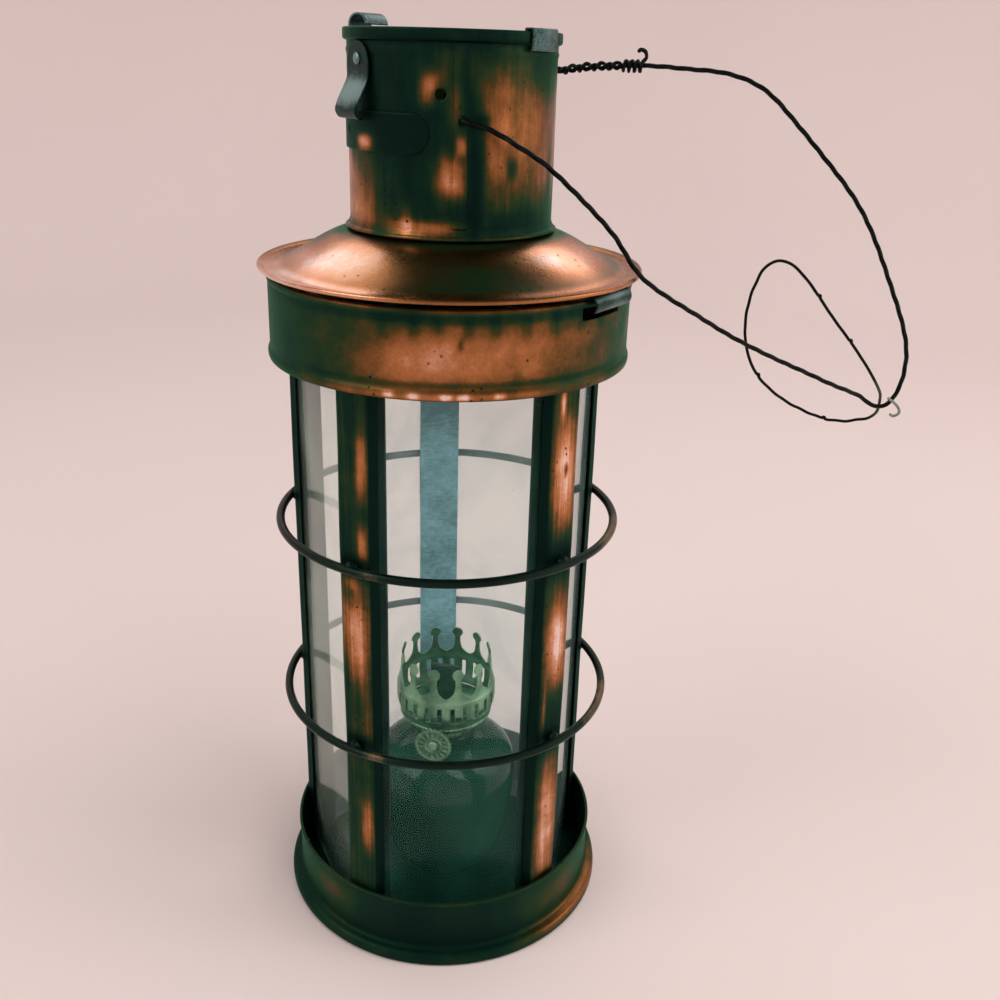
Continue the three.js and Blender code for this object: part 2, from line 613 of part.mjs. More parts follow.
function burnerBase() {
  const low = NECK_Z + 1.2;
  const deck = GALLERY_Z - GAP - 1.7;
  const rim = GALLERY_R - 2;
  const hole = WICK_W / 2 + 1.6;
  const profile = [
    [NECK_R + 0.2, low], [NECK_R + 1, low], [NECK_R + 1.2, deck - 1.6], [NECK_R + 4, deck - 0.4],
    [rim - 1, deck], [rim, deck + 0.8], [rim - 1, deck + 1.6], [NECK_R + 4, deck + 0.8], [hole, deck + 0.6],
    [hole, deck - 0.1], [NECK_R - 0.4, deck - 0.3],
  ];
  const drill = bar(winderPoint(NECK_R - 3), winderPoint(NECK_R + 4), 1.5, 10);
  piece('burner_base', turned(profile, ROUND_SMALL).subtract(drill), BRASS);
}

/** Pierced basket with a crown of club-shaped petals that grips the glass chimney. */
function galleryCrown() {
  const z = GALLERY_Z;
  const wall = [
    [GALLERY_R - 2.6, z], [GALLERY_R - 0.2, z + 6.5], [GALLERY_R - 0.6, z + 15],
    [GALLERY_R - 2.2, z + 21], [GALLERY_R - 2.2, z + 33],
  ];
  let crown = turned(thicken(wall, 0.6), 36);
  const pitch = 360 / PETALS;
  const half = (GALLERY_R - 2) * Math.tan(radians(pitch / 2));
  const notch = [
    [0, z + 17.8], [half * 0.72, z + 20.5], [half * 0.42, z + 25.5], [half * 0.42, z + 28.5],
    [half * 0.98, z + 34], [-half * 0.98, z + 34], [-half * 0.42, z + 28.5], [-half * 0.42, z + 25.5],
    [-half * 0.72, z + 20.5],
  ];
  const slot = [[-1.1, z + 4], [1.1, z + 4], [1.1, z + 12.6], [-1.1, z + 12.6]];
  for (let i = 0; i < PETALS; i += 1) {
    crown = crown.subtract(outward(notch, GALLERY_R - 8, GALLERY_R + 4, i * pitch));
    for (const share of [0.25, 0.75]) {
      crown = crown.subtract(outward(slot, GALLERY_R - 6, GALLERY_R + 4, (i + share) * pitch));
    }
  }
  piece('gallery_crown', crown, BRASS);
}

const roundedBox = (width, depth) => [
  ...arc(width / 2 - depth / 2, 0, depth / 2, -90, 90, 4), ...arc(depth / 2 - width / 2, 0, depth / 2, 90, 270, 4),
];

function wickAndWinder() {
  const bore = [WICK_W + 2 * GAP, WICK_T + 2 * GAP];
  const low = NECK_Z - 6;
  const high = GALLERY_Z + 22;
  const tube = upright(roundedBox(bore[0] + 1, bore[1] + 1), low, high, WINDER_AT);
  const hollow = upright(roundedBox(...bore), low - 1, high + 1, WINDER_AT);
  const back = bore[1] / 2 + 0.5 + GAP;
  piece('wick_tube', tube.subtract(hollow), BRASS);
  piece('wick', upright(roundedBox(WICK_W, WICK_T), FLOOR_T + 8, high + 1, WINDER_AT), COTTON);
  piece('winder_spindle', bar(winderPoint(back), winderPoint(KNOB_REACH - GAP), 1.1, 10), BRASS);

  const teeth = 30;
  const edge = Array.from({ length: teeth * 2 }, (_, i) => {
    const a = (i * Math.PI) / teeth;
    const r = KNOB_R - (i % 2) * 0.55;
    return [r * Math.cos(a), WINDER_Z + r * Math.sin(a)];
  });
  const disc = outward(edge, KNOB_REACH, KNOB_REACH + 1.1, WINDER_AT);
  const boss = bar(winderPoint(KNOB_REACH + 0.5), winderPoint(KNOB_REACH + 2.2), 2.2, 16);
  piece('winder_knob', disc.add(boss), BRASS);
}

pan();
cage();
topBand();
hood();
chimney();
hoodFittings();
handle();
font();
burnerBase();
galleryCrown();
wickAndWinder();

export default lantern;
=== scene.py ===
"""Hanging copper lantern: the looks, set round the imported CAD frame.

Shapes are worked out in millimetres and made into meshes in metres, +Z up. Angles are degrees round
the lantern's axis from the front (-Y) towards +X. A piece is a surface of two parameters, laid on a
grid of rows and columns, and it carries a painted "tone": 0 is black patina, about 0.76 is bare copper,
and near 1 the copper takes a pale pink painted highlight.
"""

import json
import math

import bmesh
import bpy
import numpy as np
from mathutils import Matrix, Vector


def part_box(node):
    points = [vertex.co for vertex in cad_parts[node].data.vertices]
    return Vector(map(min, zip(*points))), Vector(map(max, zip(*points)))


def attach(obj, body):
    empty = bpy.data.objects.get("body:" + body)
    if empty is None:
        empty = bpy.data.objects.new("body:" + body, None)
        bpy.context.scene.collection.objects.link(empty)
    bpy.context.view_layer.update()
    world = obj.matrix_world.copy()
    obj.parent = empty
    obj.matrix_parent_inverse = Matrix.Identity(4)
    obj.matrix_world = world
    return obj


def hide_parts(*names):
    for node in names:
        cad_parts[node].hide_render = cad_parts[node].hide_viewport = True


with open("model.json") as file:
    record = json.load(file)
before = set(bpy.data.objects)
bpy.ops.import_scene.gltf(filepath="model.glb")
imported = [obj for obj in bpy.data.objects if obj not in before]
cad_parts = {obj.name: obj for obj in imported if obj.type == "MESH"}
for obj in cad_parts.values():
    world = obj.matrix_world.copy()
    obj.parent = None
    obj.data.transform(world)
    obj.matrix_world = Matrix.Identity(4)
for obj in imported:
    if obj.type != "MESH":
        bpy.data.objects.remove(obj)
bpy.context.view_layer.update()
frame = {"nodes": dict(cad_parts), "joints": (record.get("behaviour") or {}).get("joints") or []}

MM = 0.001


# ------------------------------------------------------------------ sizes taken from the frame
def low(node):
    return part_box(node)[0].z / MM


def high(node):
    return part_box(node)[1].z / MM


def reach(node):
    """Outer radius of a turned node."""
    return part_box(node)[1].x / MM


SHEET = 0.8
GAP = 0.3
STILES = 5
STILE_TURN = -31.7
STILE_STEP = 360 / STILES
STILE_FACE_R = 74.2
STILE_FACE_HALF = 7.3
STILE_HALF = 10
STILE_DEPTH = 4.8
CAGE_LOW, CAGE_HIGH = low("stile_1"), high("stile_1")

FOOT_R = reach("pan_wall")
PAN_R = FOOT_R - 5
PAN_H = high("pan_wall")
FOOT_BEAD_H = 6.5

WIRE_R = (high("guard_ring_upper") - low("guard_ring_upper")) / 2
RING_R = reach("guard_ring_upper") - WIRE_R
RING_Z = {level: high(f"guard_ring_{level}") - WIRE_R for level in ("lower", "upper")}

BAND_R = reach("top_band") - 0.9
BAND_LOW, BAND_HIGH = low("top_band"), high("top_band")
BEAD_R = 1.4
BEAD_AT = (BAND_R - 0.64 * BEAD_R, BAND_HIGH - BEAD_R)
PLATE_LOW, PLATE_R = low("top_plate"), reach("top_plate")
PLATE_HOLE_R = 56
STRAP_W = 16
HINGE_AT, CATCH_AT, CATCH_W = -120, 53.5, 28
WINDOWS = ((-120, 8.8), (51, 13.5))
WINDOW_HIGH = BEAD_AT[1] - BEAD_R - 0.1
WINDOW_LOW = WINDOW_HIGH - 5

HOOD_R, HOOD_LOW, COLLAR_TOP = reach("hood_dome"), low("hood_dome"), high("hood_dome")
HOOD_RISE = COLLAR_TOP - HOOD_LOW - 6
CHIMNEY_R = reach("chimney_tube") - 2.5
COLLAR_R = CHIMNEY_R - SHEET - GAP
CHIMNEY_LOW, CHIMNEY_TOP = low("chimney_tube"), high("chimney_tube")
RIM_R, RIM_H = CHIMNEY_R + 1.6, 4.5
PIVOT_Z = frame["joints"][[j["name"] for j in frame["joints"]].index("bail_pivot")]["pos_m"][2] / MM
BAIL_AT, BAIL_HOLE_R = 5, 2.4
PUNCHED_AT, PUNCHED_Z, PUNCHED_R = -6, PIVOT_Z + 9, 2.2
EAR_AT = -57

FONT_R = reach("font")
FONT_LOW, NECK_Z, NECK_R = low("font"), high("font"), 13
GALLERY_R, GALLERY_Z = 25.2, low("gallery_crown")
WINDER_AT, WINDER_Z, KNOB_R, KNOB_REACH = -12, 89.6, 9.3, 28.6


# ------------------------------------------------------------------ camera, floor and light
def camera():
    """Looks down over the hood from the front, turned a little to the right and tilted a little."""
    down, turn, tilt = (math.radians(a) for a in (22.59, 2.99, 1.77))
    forward = np.array([math.sin(turn) * math.cos(down), math.cos(turn) * math.cos(down), -math.sin(down)])
    level = np.array([math.cos(turn), -math.sin(turn), 0.0])
    upward = np.cross(level, forward)
    right = math.cos(tilt) * level + math.sin(tilt) * upward
    up = math.cos(tilt) * upward - math.sin(tilt) * level
    eye = bpy.data.objects.new("camera", bpy.data.cameras.new("camera"))
    bpy.context.scene.collection.objects.link(eye)
    eye.data.lens = 38.77
    eye.data.sensor_width = 36
    eye.data.clip_start, eye.data.clip_end = 0.01, 20
    axes = Matrix([[right[i], up[i], -forward[i]] for i in range(3)]).to_4x4()
    eye.matrix_world = Matrix.Translation((0, -0.4706, 0.4044)) @ axes
    bpy.context.scene.camera = eye


def lamp(name, place, target, width, height, power, colour, mirrored=True):
    """A soft area light at a place, turned towards a target, in metres and watts. One that isn't mirrored
    lights the cloth but isn't seen in shiny metal."""
    data = bpy.data.lights.new(name, "AREA")
    data.shape, data.size, data.size_y = "RECTANGLE", width, height
    data.energy, data.color = power, colour
    light = bpy.data.objects.new(name, data)
    bpy.context.scene.collection.objects.link(light)
    back = (np.array(place) - np.array(target)) / np.linalg.norm(np.array(place) - np.array(target))
    side = np.cross((0.0, 0.0, 1.0), back)
    side = side / np.linalg.norm(side)
    up = np.cross(back, side)
    axes = Matrix([[side[i], up[i], back[i]] for i in range(3)]).to_4x4()
    light.matrix_world = Matrix.Translation(place) @ axes
    light.visible_glossy = mirrored


def lights():
    world = bpy.data.worlds.new("room")
    bpy.context.scene.world = world
    world.use_nodes = True
    sky = world.node_tree.nodes["Background"].inputs
    sky["Color"].default_value = (0.15, 0.20, 0.188, 1)
    sky["Strength"].default_value = 1.0
    lamp("window", (-1.5, -0.7, 1.7), (0, 0, 0.1), 1.3, 1.3, 15, (1, 0.99, 0.98))
    lamp("overhead", (1.0, -0.5, 2.1), (0.3, 0, 0), 1.8, 1.8, 32, (1, 0.98, 0.965), mirrored=False)
    lamp("side", (1.9, -0.3, 1.0), (0, 0, 0.2), 0.9, 1.2, 6, (1, 0.97, 0.95))
    lamp("wall left", (-0.75, 1.6, 2.05), (0, 0, 0.33), 1.7, 1.9, 11.5, (1, 0.96, 0.97))
    lamp("wall right", (1.15, 1.7, 1.75), (0, 0, 0.33), 1.2, 1.1, 6.5, (1, 0.95, 0.97))
    view = bpy.context.scene.view_settings
    view.view_transform = "Standard"


# ------------------------------------------------------------------ lines and grids
def polar(angle, radius, height):
    """The point at an angle in degrees, a radius and a height; arrays of each give arrays of points."""
    a = np.radians(angle)
    return np.stack(np.broadcast_arrays(radius * np.sin(a), -radius * np.cos(a), height), axis=-1)


def placed(across, out, up, angle):
    """Points given sideways, outwards and upwards, turned to stand at an angle."""
    a = math.radians(angle)
    x = across * math.cos(a) + out * math.sin(a)
    y = across * math.sin(a) - out * math.cos(a)
    return np.stack(np.broadcast_arrays(x, y, up), axis=-1)


def arc(x, y, radius, start, stop, steps):
    """Points of a flat arc: centre plus radius times (cosine, sine) of evenly spaced angles."""
    a = np.radians(np.linspace(start, stop, steps + 1))
    return np.stack([x + radius * np.cos(a), y + radius * np.sin(a)], axis=-1)


def eased(corners, radius, steps=3, closed=False):
    """Rounds a line's corners: each becomes the quadratic curve whose ends lie the radius before and
    after it, or 0.45 of the shorter side if that is less, and whose middle control is the corner."""
    p = np.asarray(corners, float)
    back, on = np.roll(p, 1, 0) - p, np.roll(p, -1, 0) - p
    before = np.linalg.norm(back, axis=1)
    after = np.linalg.norm(on, axis=1)
    cut = np.minimum(np.broadcast_to(radius, len(p)), 0.45 * np.minimum(before, after))
    if not closed:
        cut = np.concatenate([[0], cut[1:-1], [0]])
    start = p + back * (cut / np.maximum(before, 1e-9))[:, None]
    end = p + on * (cut / np.maximum(after, 1e-9))[:, None]
    t = np.linspace(0, 1, steps + 1)[:, None, None]
    curve = (1 - t) ** 2 * start + 2 * t * (1 - t) * p + t**2 * end
    line = curve.transpose(1, 0, 2).reshape(-1, p.shape[1])
    apart = np.linalg.norm(np.diff(line, axis=0), axis=1) > 1e-5
    return line[np.concatenate([[True], apart])]


def dense(line, step, closed=False):
    """The same line with more points, so that no stretch is longer than the step."""
    line = np.asarray(line, float)
    if closed:
        line = np.concatenate([line, line[:1]])
    length = np.concatenate([[0], np.cumsum(np.linalg.norm(np.diff(line, axis=0), axis=1))])
    spots = np.unique(np.round(np.concatenate([length, np.arange(0, length[-1], step)]), 5))
    spots = spots[np.concatenate([[True], np.diff(spots) > 0.02])]
    found = np.stack([np.interp(spots, length, line[:, k]) for k in range(line.shape[1])], axis=-1)
    return found[:-1] if closed else found


def spline(points, steps, closed=False):
    """A smooth line through the points: a centripetal Catmull-Rom curve, with knots spaced by the square
    root of each chord, then spread evenly along its length."""
    p = np.asarray(points, float)
    if closed:
        p = np.concatenate([p[-1:], p, p[:2]])
    else:
        p = np.concatenate([2 * p[:1] - p[1:2], p, 2 * p[-1:] - p[-2:-1]])
    p0, p1, p2, p3 = p[:-3, None], p[1:-2, None], p[2:-1, None], p[3:, None]
    knot = [np.sqrt(np.linalg.norm(b - a, axis=-1, keepdims=True)) for a, b in ((p0, p1), (p1, p2), (p2, p3))]
    t1, t2, t3 = knot[0], knot[0] + knot[1], knot[0] + knot[1] + knot[2]
    t = t1 + (t2 - t1) * np.linspace(0, 1, 13)[:-1][None, :, None]
    a1 = (t1 - t) / t1 * p0 + t / t1 * p1
    a2 = (t2 - t) / (t2 - t1) * p1 + (t - t1) / (t2 - t1) * p2
    a3 = (t3 - t) / (t3 - t2) * p2 + (t - t2) / (t3 - t2) * p3
    b1 = (t2 - t) / t2 * a1 + t / t2 * a2
    b2 = (t3 - t) / (t3 - t1) * a2 + (t - t1) / (t3 - t1) * a3
    line = ((t2 - t) / (t2 - t1) * b1 + (t - t1) / (t2 - t1) * b2).reshape(-1, p.shape[1])
    line = np.concatenate([line, p[-2:-1]])
    length = np.concatenate([[0], np.cumsum(np.linalg.norm(np.diff(line, axis=0), axis=1))])
    even = np.linspace(0, length[-1], steps + 1)
    if closed:
        even = even[:-1]
    return np.stack([np.interp(even, length, line[:, k]) for k in range(p.shape[1])], axis=-1)


def with_lines(values, extra):
    """Grid lines at the values and at the extra places, with any that nearly meet an extra one dropped."""
    extra = np.asarray(extra, float)
    gap = 0.3 * np.abs(np.diff(values)).min()
    far = np.abs(np.asarray(values)[:, None] - extra[None]).min(axis=1) > gap
    return np.unique(np.concatenate([np.asarray(values)[far], extra]))


def handmade(angle, height, depth, seed):
    """Gentle unevenness of hammered sheet: a sum of five waves round and up the piece, each with a whole
    number of turns round it and a phase of its own."""
    draw = np.random.default_rng(seed)
    total = 0
    for turns in (1, 2, 3, 5, 8):
        phase, climb = draw.uniform(0, 2 * np.pi), draw.uniform(0.02, 0.09)
        total = total + np.sin(np.radians(angle) * turns + climb * height + phase) / (1 + 0.3 * turns)
    return depth * total / 2


def toned(u, v, base, patches, period=None):
    """Painted tone: the base plus, for each patch (u, v, half width, half height, strength), the strength
    times a flat-topped bell of the distance from the patch's middle."""
    total = np.full(np.broadcast(u, v).shape, float(base))
    for at_u, at_v, half_u, half_v, strength in patches:
        du = u - at_u
        if period:
            du = (du + period / 2) % period - period / 2
        total += strength * np.exp(-np.abs(du / half_u) ** 2.6 - np.abs((v - at_v) / half_v) ** 2.6)
    return total


def surface(name, points, material, body, replaces=(), loop_rows=False, loop_columns=False,
            keep=None, thickness=None, tone=None):
    """A mesh of the four-sided cells between neighbouring rows and columns of points in millimetres.
    Cells outside keep are left out, points that meet are merged, a closed surface is turned to face
    outwards, and a sheet given at its middle gets its thickness to both sides."""
    rows, columns = points.shape[:2]
    i, j = np.meshgrid(
        np.arange(rows if loop_rows else rows - 1),
        np.arange(columns if loop_columns else columns - 1),
        indexing="ij",
    )
    below, beside = (i + 1) % rows, (j + 1) % columns
    cells = np.stack([i * columns + j, i * columns + beside,
                      below * columns + beside, below * columns + j], -1)
    cells = cells[keep] if keep is not None else cells.reshape(-1, 4)
    flat = points.reshape(-1, 3) * MM
    used = np.unique(cells)
    number = np.zeros(len(flat), int)
    number[used] = np.arange(len(used))
    cells = number[cells]
    spots = flat[used]
    if thickness is None:
        a, b, c, d = (spots[cells[:, k]] for k in range(4))
        volume = (np.cross(a, b) * c).sum() + (np.cross(a, c) * d).sum()
        if volume < 0:
            cells = cells[:, ::-1]
    mesh = bpy.data.meshes.new(name)
    mesh.from_pydata(spots, [], cells)
    if tone is not None:
        layer = mesh.attributes.new("tone", "FLOAT", "POINT")
        tones = np.broadcast_to(tone, (rows, columns)).reshape(-1)[used]
        layer.data.foreach_set("value", tones.astype(np.float32))
    shape = bmesh.new()
    shape.from_mesh(mesh)
    bmesh.ops.remove_doubles(shape, verts=shape.verts, dist=2e-6)
    bmesh.ops.dissolve_degenerate(shape, edges=shape.edges, dist=1e-7)
    shape.to_mesh(mesh)
    shape.free()
    mesh.polygons.foreach_set("use_smooth", np.ones(len(mesh.polygons), bool))
    piece = bpy.data.objects.new(name, mesh)
    bpy.context.scene.collection.objects.link(piece)
    mesh.materials.append(material)
    if thickness is not None:
        wall = piece.modifiers.new("wall", "SOLIDIFY")
        wall.thickness, wall.offset = thickness * MM, 0
        wall.use_even_offset = True
    if body:
        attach(piece, body)
        if replaces:
            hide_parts(*replaces)
    return piece


def turned(name, profile, material, body, replaces=(), segments=160, uneven=0.0, seed=1,
           base=0.5, patches=(), ripple=None):
    """A turned piece: a profile of (radius, height) carried round the axis. Every radius gets the
    handmade unevenness, and ripple, a function of angle and height, can add more."""
    angle = np.linspace(0, 360, segments, endpoint=False)[None, :]
    radius, height = profile[:, 0][:, None], profile[:, 1][:, None]
    shift = handmade(angle, height, uneven, seed) * (radius > 1)
    if ripple is not None:
        shift = shift + ripple(angle, height) * (radius > 1)
    points = polar(angle, radius + shift, height + 0 * angle)
    closes_on_axis = radius[0, 0] == 0 and radius[-1, 0] == 0
    tone = toned(angle + 0 * height, height + 0 * angle, base, patches, period=360)
    return surface(name, points, material, body, replaces, loop_rows=not closes_on_axis,
                   loop_columns=True, tone=tone)


def frames(path, away, closed=False):
    """Two unit vectors across a path at each point, which don't spin about it: the side is first the cross
    product of the direction and a fixed vector, then turned back by the angle it has turned so far. Round
    a closed path it stays square to the fixed vector, so that its ends meet."""
    if closed:
        along = np.roll(path, -1, 0) - np.roll(path, 1, 0)
    else:
        along = np.gradient(path, axis=0)
    along = along / np.linalg.norm(along, axis=1, keepdims=True)
    side = np.cross(along, away)
    side = side / np.linalg.norm(side, axis=1, keepdims=True)
    over = np.cross(side, along)
    turn = np.concatenate([[0], np.cumsum((np.diff(side, axis=0) * (over[1:] + over[:-1]) / 2).sum(axis=1))])
    if closed:
        turn = np.zeros_like(turn)
    cosine, sine = np.cos(turn)[:, None], np.sin(turn)[:, None]
    return cosine * side - sine * over, sine * side + cosine * over


def swept(name, path, radius, material, body, replaces=(), away=(-1, 1, -1), sides=12, closed=False,
          lobes=0, lobe_depth=0.0, lay=25.0, tone=0.3):
    """Wire: a round section carried along a path, its radius given for each point. With lobes the section
    is a twist of strands: the radius follows a cosine of lobes times the angle less the twist, which
    makes one turn for each lay length along the path. Both ends close to a point."""
    side, over = frames(path, np.asarray(away, float), closed)
    length = np.concatenate([[0], np.cumsum(np.linalg.norm(np.diff(path, axis=0), axis=1))])[:, None]
    turn = np.linspace(0, 2 * np.pi, sides, endpoint=False)[None, :]
    radius = np.broadcast_to(radius, len(path))[:, None]
    if not closed:
        radius = radius * np.concatenate([[0, 0.75], np.ones(len(path) - 4), [0.75, 0]])[:, None]
    size = radius * (1 - lobe_depth + lobe_depth * np.cos(lobes * turn - 2 * np.pi * lobes * length / lay))
    points = path[:, None] + size[..., None] * (
        np.cos(turn)[..., None] * side[:, None] + np.sin(turn)[..., None] * over[:, None]
    )
    return surface(name, points, material, body, replaces, loop_rows=closed, loop_columns=True,
                   tone=tone + 0 * size)


def strap(name, line, half_width, angle, material, body, replaces=(), thickness=SHEET, base=0.4,
          patches=()):
    """A flat strip bent along a line of (outwards, upwards) points, set square to an angle. The half
    width is given for each point of the line."""
    across = np.linspace(-1, 1, 25)[None, :] * np.broadcast_to(half_width, len(line))[:, None]
    points = placed(across, line[:, 0][:, None], line[:, 1][:, None], angle)
    run = np.concatenate([[0], np.cumsum(np.linalg.norm(np.diff(line, axis=0), axis=1))])[:, None]
    tone = toned(across, run + 0 * across, base, patches)
    return surface(name, points, material, body, replaces, thickness=thickness, tone=tone)


def round_end(run, length, half, corner):
    """Half width of a strip whose corners at both ends are quarter circles of the given radii."""
    first, last = corner
    width = np.full(len(run), float(half))
    if first:
        into = np.clip(first - run, 0, first)
        width = np.minimum(width, half - first + np.sqrt(np.maximum(first**2 - into**2, 0)))
    if last:
        into = np.clip(run - (length - last), 0, last)
        width = np.minimum(width, half - last + np.sqrt(np.maximum(last**2 - into**2, 0)))
    return width


def run_along(line):
    """How far along a line each of its points lies."""
    return np.concatenate([[0], np.cumsum(np.linalg.norm(np.diff(line, axis=0), axis=1))])


# ------------------------------------------------------------------ materials
class Finish:
    """One material's nodes, with short calls for the patterns it is made of."""

    def __init__(self, name):
        self.material = bpy.data.materials.new(name)
        self.material.use_nodes = True
        self.tree = self.material.node_tree
        self.shader = self.tree.nodes["Principled BSDF"]
        self.place = self.add("ShaderNodeTexCoord").outputs["Object"]

    def add(self, kind, settings=None, **inputs):
        made = self.tree.nodes.new(kind)
        for key, value in (settings or {}).items():
            setattr(made, key, value)
        for key, value in inputs.items():
            self.put(made.inputs[key.replace("_", " ")], value)
        return made

    def put(self, socket, value):
        if isinstance(value, bpy.types.NodeSocket):
            self.tree.links.new(value, socket)
        else:
            socket.default_value = value

    def stretched(self, stretch, turn=(0, 0, 0)):
        mapping = self.add("ShaderNodeMapping", Vector=self.place)
        mapping.inputs["Scale"].default_value = stretch
        mapping.inputs["Rotation"].default_value = turn
        return mapping.outputs["Vector"]

    def noise(self, scale, detail=4.0, rough=0.6, where=None, distortion=0.0):
        made = self.add("ShaderNodeTexNoise", Vector=where or self.place, Scale=scale, Detail=detail,
                        Roughness=rough, Distortion=distortion)
        return made.outputs["Fac"]

    def cells(self, scale, where=None, feature="F1"):
        made = self.add("ShaderNodeTexVoronoi", {"feature": feature}, Vector=where or self.place, Scale=scale)
        return made.outputs["Distance"]

    def maths(self, operation, a, b=0.0, clamp=False):
        made = self.add("ShaderNodeMath", {"operation": operation, "use_clamp": clamp})
        self.put(made.inputs[0], a)
        self.put(made.inputs[1], b)
        return made.outputs[0]

    def sum(self, first, *terms):
        """The first value plus each (value, strength), where a value's middle of 0.5 adds nothing."""
        total = first
        for value, strength in terms:
            shift = self.maths("MULTIPLY", self.maths("SUBTRACT", value, 0.5), strength)
            total = self.maths("ADD", total, shift)
        return total

    def ranged(self, value, start, stop, to_start=0.0, to_stop=1.0):
        made = self.add("ShaderNodeMapRange", {"interpolation_type": "SMOOTHSTEP"}, Value=value)
        limits = {"From Min": start, "From Max": stop, "To Min": to_start, "To Max": to_stop}
        for key, number in limits.items():
            made.inputs[key].default_value = number
        return made.outputs["Result"]

    def ramp(self, value, stops):
        made = self.add("ShaderNodeValToRGB", Fac=value)
        line = made.color_ramp.elements
        while len(line) < len(stops):
            line.new(0.5)
        for mark, (place, colour) in zip(line, stops):
            mark.position = place
            mark.color = (*colour, 1)
        return made.outputs["Color"]

    def mixed(self, share, a, b, blend="MIX"):
        made = self.add("ShaderNodeMix", {"data_type": "RGBA", "blend_type": blend})
        for socket, value in ((made.inputs[0], share), (made.inputs[6], a), (made.inputs[7], b)):
            self.put(socket, (*value, 1) if isinstance(value, tuple) else value)
        return made.outputs[2]

    def bump(self, height, distance, strength=1.0):
        made = self.add("ShaderNodeBump", Height=height, Distance=distance * MM, Strength=strength)
        self.put(self.shader.inputs["Normal"], made.outputs["Normal"])

    def set(self, **values):
        for key, value in values.items():
            if isinstance(value, tuple):
                value = (*value, 1)
            self.put(self.shader.inputs[key.replace("_", " ")], value)

    def tone(self):
        return self.add("ShaderNodeAttribute", {"attribute_name": "tone"}).outputs["Fac"]


# Tone to colour: black-green patina, olive, brown, bare copper at 0.76; the two top stops, pale pink, are
# painted highlight colours.
PATINA_TO_HIGHLIGHT = (
    (0.0, (0.0015, 0.0105, 0.0085)),
    (0.2, (0.004, 0.022, 0.013)),
    (0.36, (0.020, 0.042, 0.014)),
    (0.48, (0.080, 0.056, 0.018)),
    (0.6, (0.225, 0.098, 0.032)),
    (0.76, (0.47, 0.185, 0.070)),
    (0.9, (0.72, 0.38, 0.24)),
    (1.0, (0.90, 0.70, 0.63)),
)


def copper(name, lift=0.0, cloud=22.0, streaks=None, contrast=1.0, smooth=0.0):
    """Sheet copper under patina: the painted tone, broken up by clouds, mottling and grain, picks a colour
    from black-green through olive and brown to bare copper, and at the top of the scale a pale pink
    painted highlight. Bare places are smoother and fully metallic."""
    f = Finish(name)
    clouds = f.noise(cloud, 3, 0.6, distortion=0.6)
    mottle = f.noise(cloud * 5, 5, 0.65)
    grain = f.noise(cloud * 32, 3, 0.7)
    tone = f.maths("ADD", f.tone(), lift)
    tone = f.sum(tone, (clouds, 0.62 * contrast), (mottle, 0.42 * contrast), (grain, 0.2 * contrast))
    scratch = f.noise(90, 2, 0.5, where=f.stretched((14, 14, 0.7), (0.3, 0.5, 0)))
    height = f.maths("ADD", f.maths("MULTIPLY", grain, 0.35), f.maths("MULTIPLY", scratch, 0.25))
    if streaks:
        brushed = f.noise(1, 3, 0.65, where=f.stretched(streaks))
        tone = f.sum(tone, (brushed, 0.55))
        height = f.maths("ADD", height, f.maths("MULTIPLY", brushed, 0.4))
    pits = f.ranged(f.cells(260), 0.05, 0.22, 1, 0)
    few = f.ranged(f.noise(60, 2), 0.54, 0.64)
    pitted = f.maths("MULTIPLY", pits, few)
    tone = f.maths("SUBTRACT", tone, f.maths("MULTIPLY", pitted, 0.42), clamp=True)
    f.set(Base_Color=f.ramp(tone, PATINA_TO_HIGHLIGHT))
    worn = f.ranged(tone, 0.25, 0.9, 0.48 - smooth, 0.3 - smooth)
    f.set(Roughness=f.sum(worn, (grain, 0.2), (mottle, 0.14)))
    f.set(Metallic=f.ranged(tone, 0.12, 0.55, 0.5, 1.0))
    f.set(Specular_IOR_Level=f.ranged(tone, 0.15, 0.6, 0.16, 0.5))
    f.set(Specular_Tint=f.mixed(f.ranged(tone, 0.3, 0.6), (0.42, 1.0, 0.74), (1.0, 1.0, 1.0)))
    f.bump(f.maths("ADD", height, f.maths("MULTIPLY", mottle, 0.5)), 0.16)
    return f.material


def tinned(name, dark, light, scale=60.0, roughness=0.4, metallic=0.9, bloomed=0.6):
    """Dull tinned strip: grey-green metal in two mixed shades, with brown bloom, fine grain and scratches."""
    f = Finish(name)
    clouds = f.noise(scale, 5, 0.65)
    grain = f.noise(scale * 14, 3, 0.7)
    scratch = f.noise(140, 2, 0.5, where=f.stretched((1, 9, 16), (0.2, 0.1, 0.5)))
    tone = f.sum(f.maths("ADD", f.tone(), 0.1), (clouds, 1.1), (grain, 0.35), (scratch, 0.4))
    colour = f.ramp(tone, ((0.0, tuple(0.4 * c for c in dark)), (0.35, dark), (0.75, light),
                           (1.0, tuple(min(1.25 * c, 1) for c in light))))
    bloom = f.ranged(f.noise(scale * 1.7, 4, 0.7), 0.56, 0.7)
    f.set(Base_Color=f.mixed(f.maths("MULTIPLY", bloom, bloomed), colour, (0.16, 0.075, 0.03)))
    f.set(Metallic=metallic, Roughness=f.sum(roughness, (clouds, 0.25), (grain, 0.15)))
    f.bump(f.maths("ADD", grain, scratch), 0.06)
    return f.material


def wire_finish(name, dark, worn, lift, roughness):
    """Drawn wire gone dark, its high places rubbed brighter, with grain and drawing marks."""
    f = Finish(name)
    clouds = f.noise(45, 4, 0.65)
    grain = f.noise(700, 3, 0.7)
    tone = f.sum(f.maths("ADD", f.tone(), lift), (clouds, 1.0), (grain, 0.4))
    f.set(Base_Color=f.ramp(tone, ((0.0, tuple(0.5 * c for c in dark)), (0.45, dark), (0.85, worn))))
    f.set(Metallic=0.85, Roughness=f.sum(roughness, (clouds, 0.2), (grain, 0.25)))
    f.bump(grain, 0.05)
    return f.material


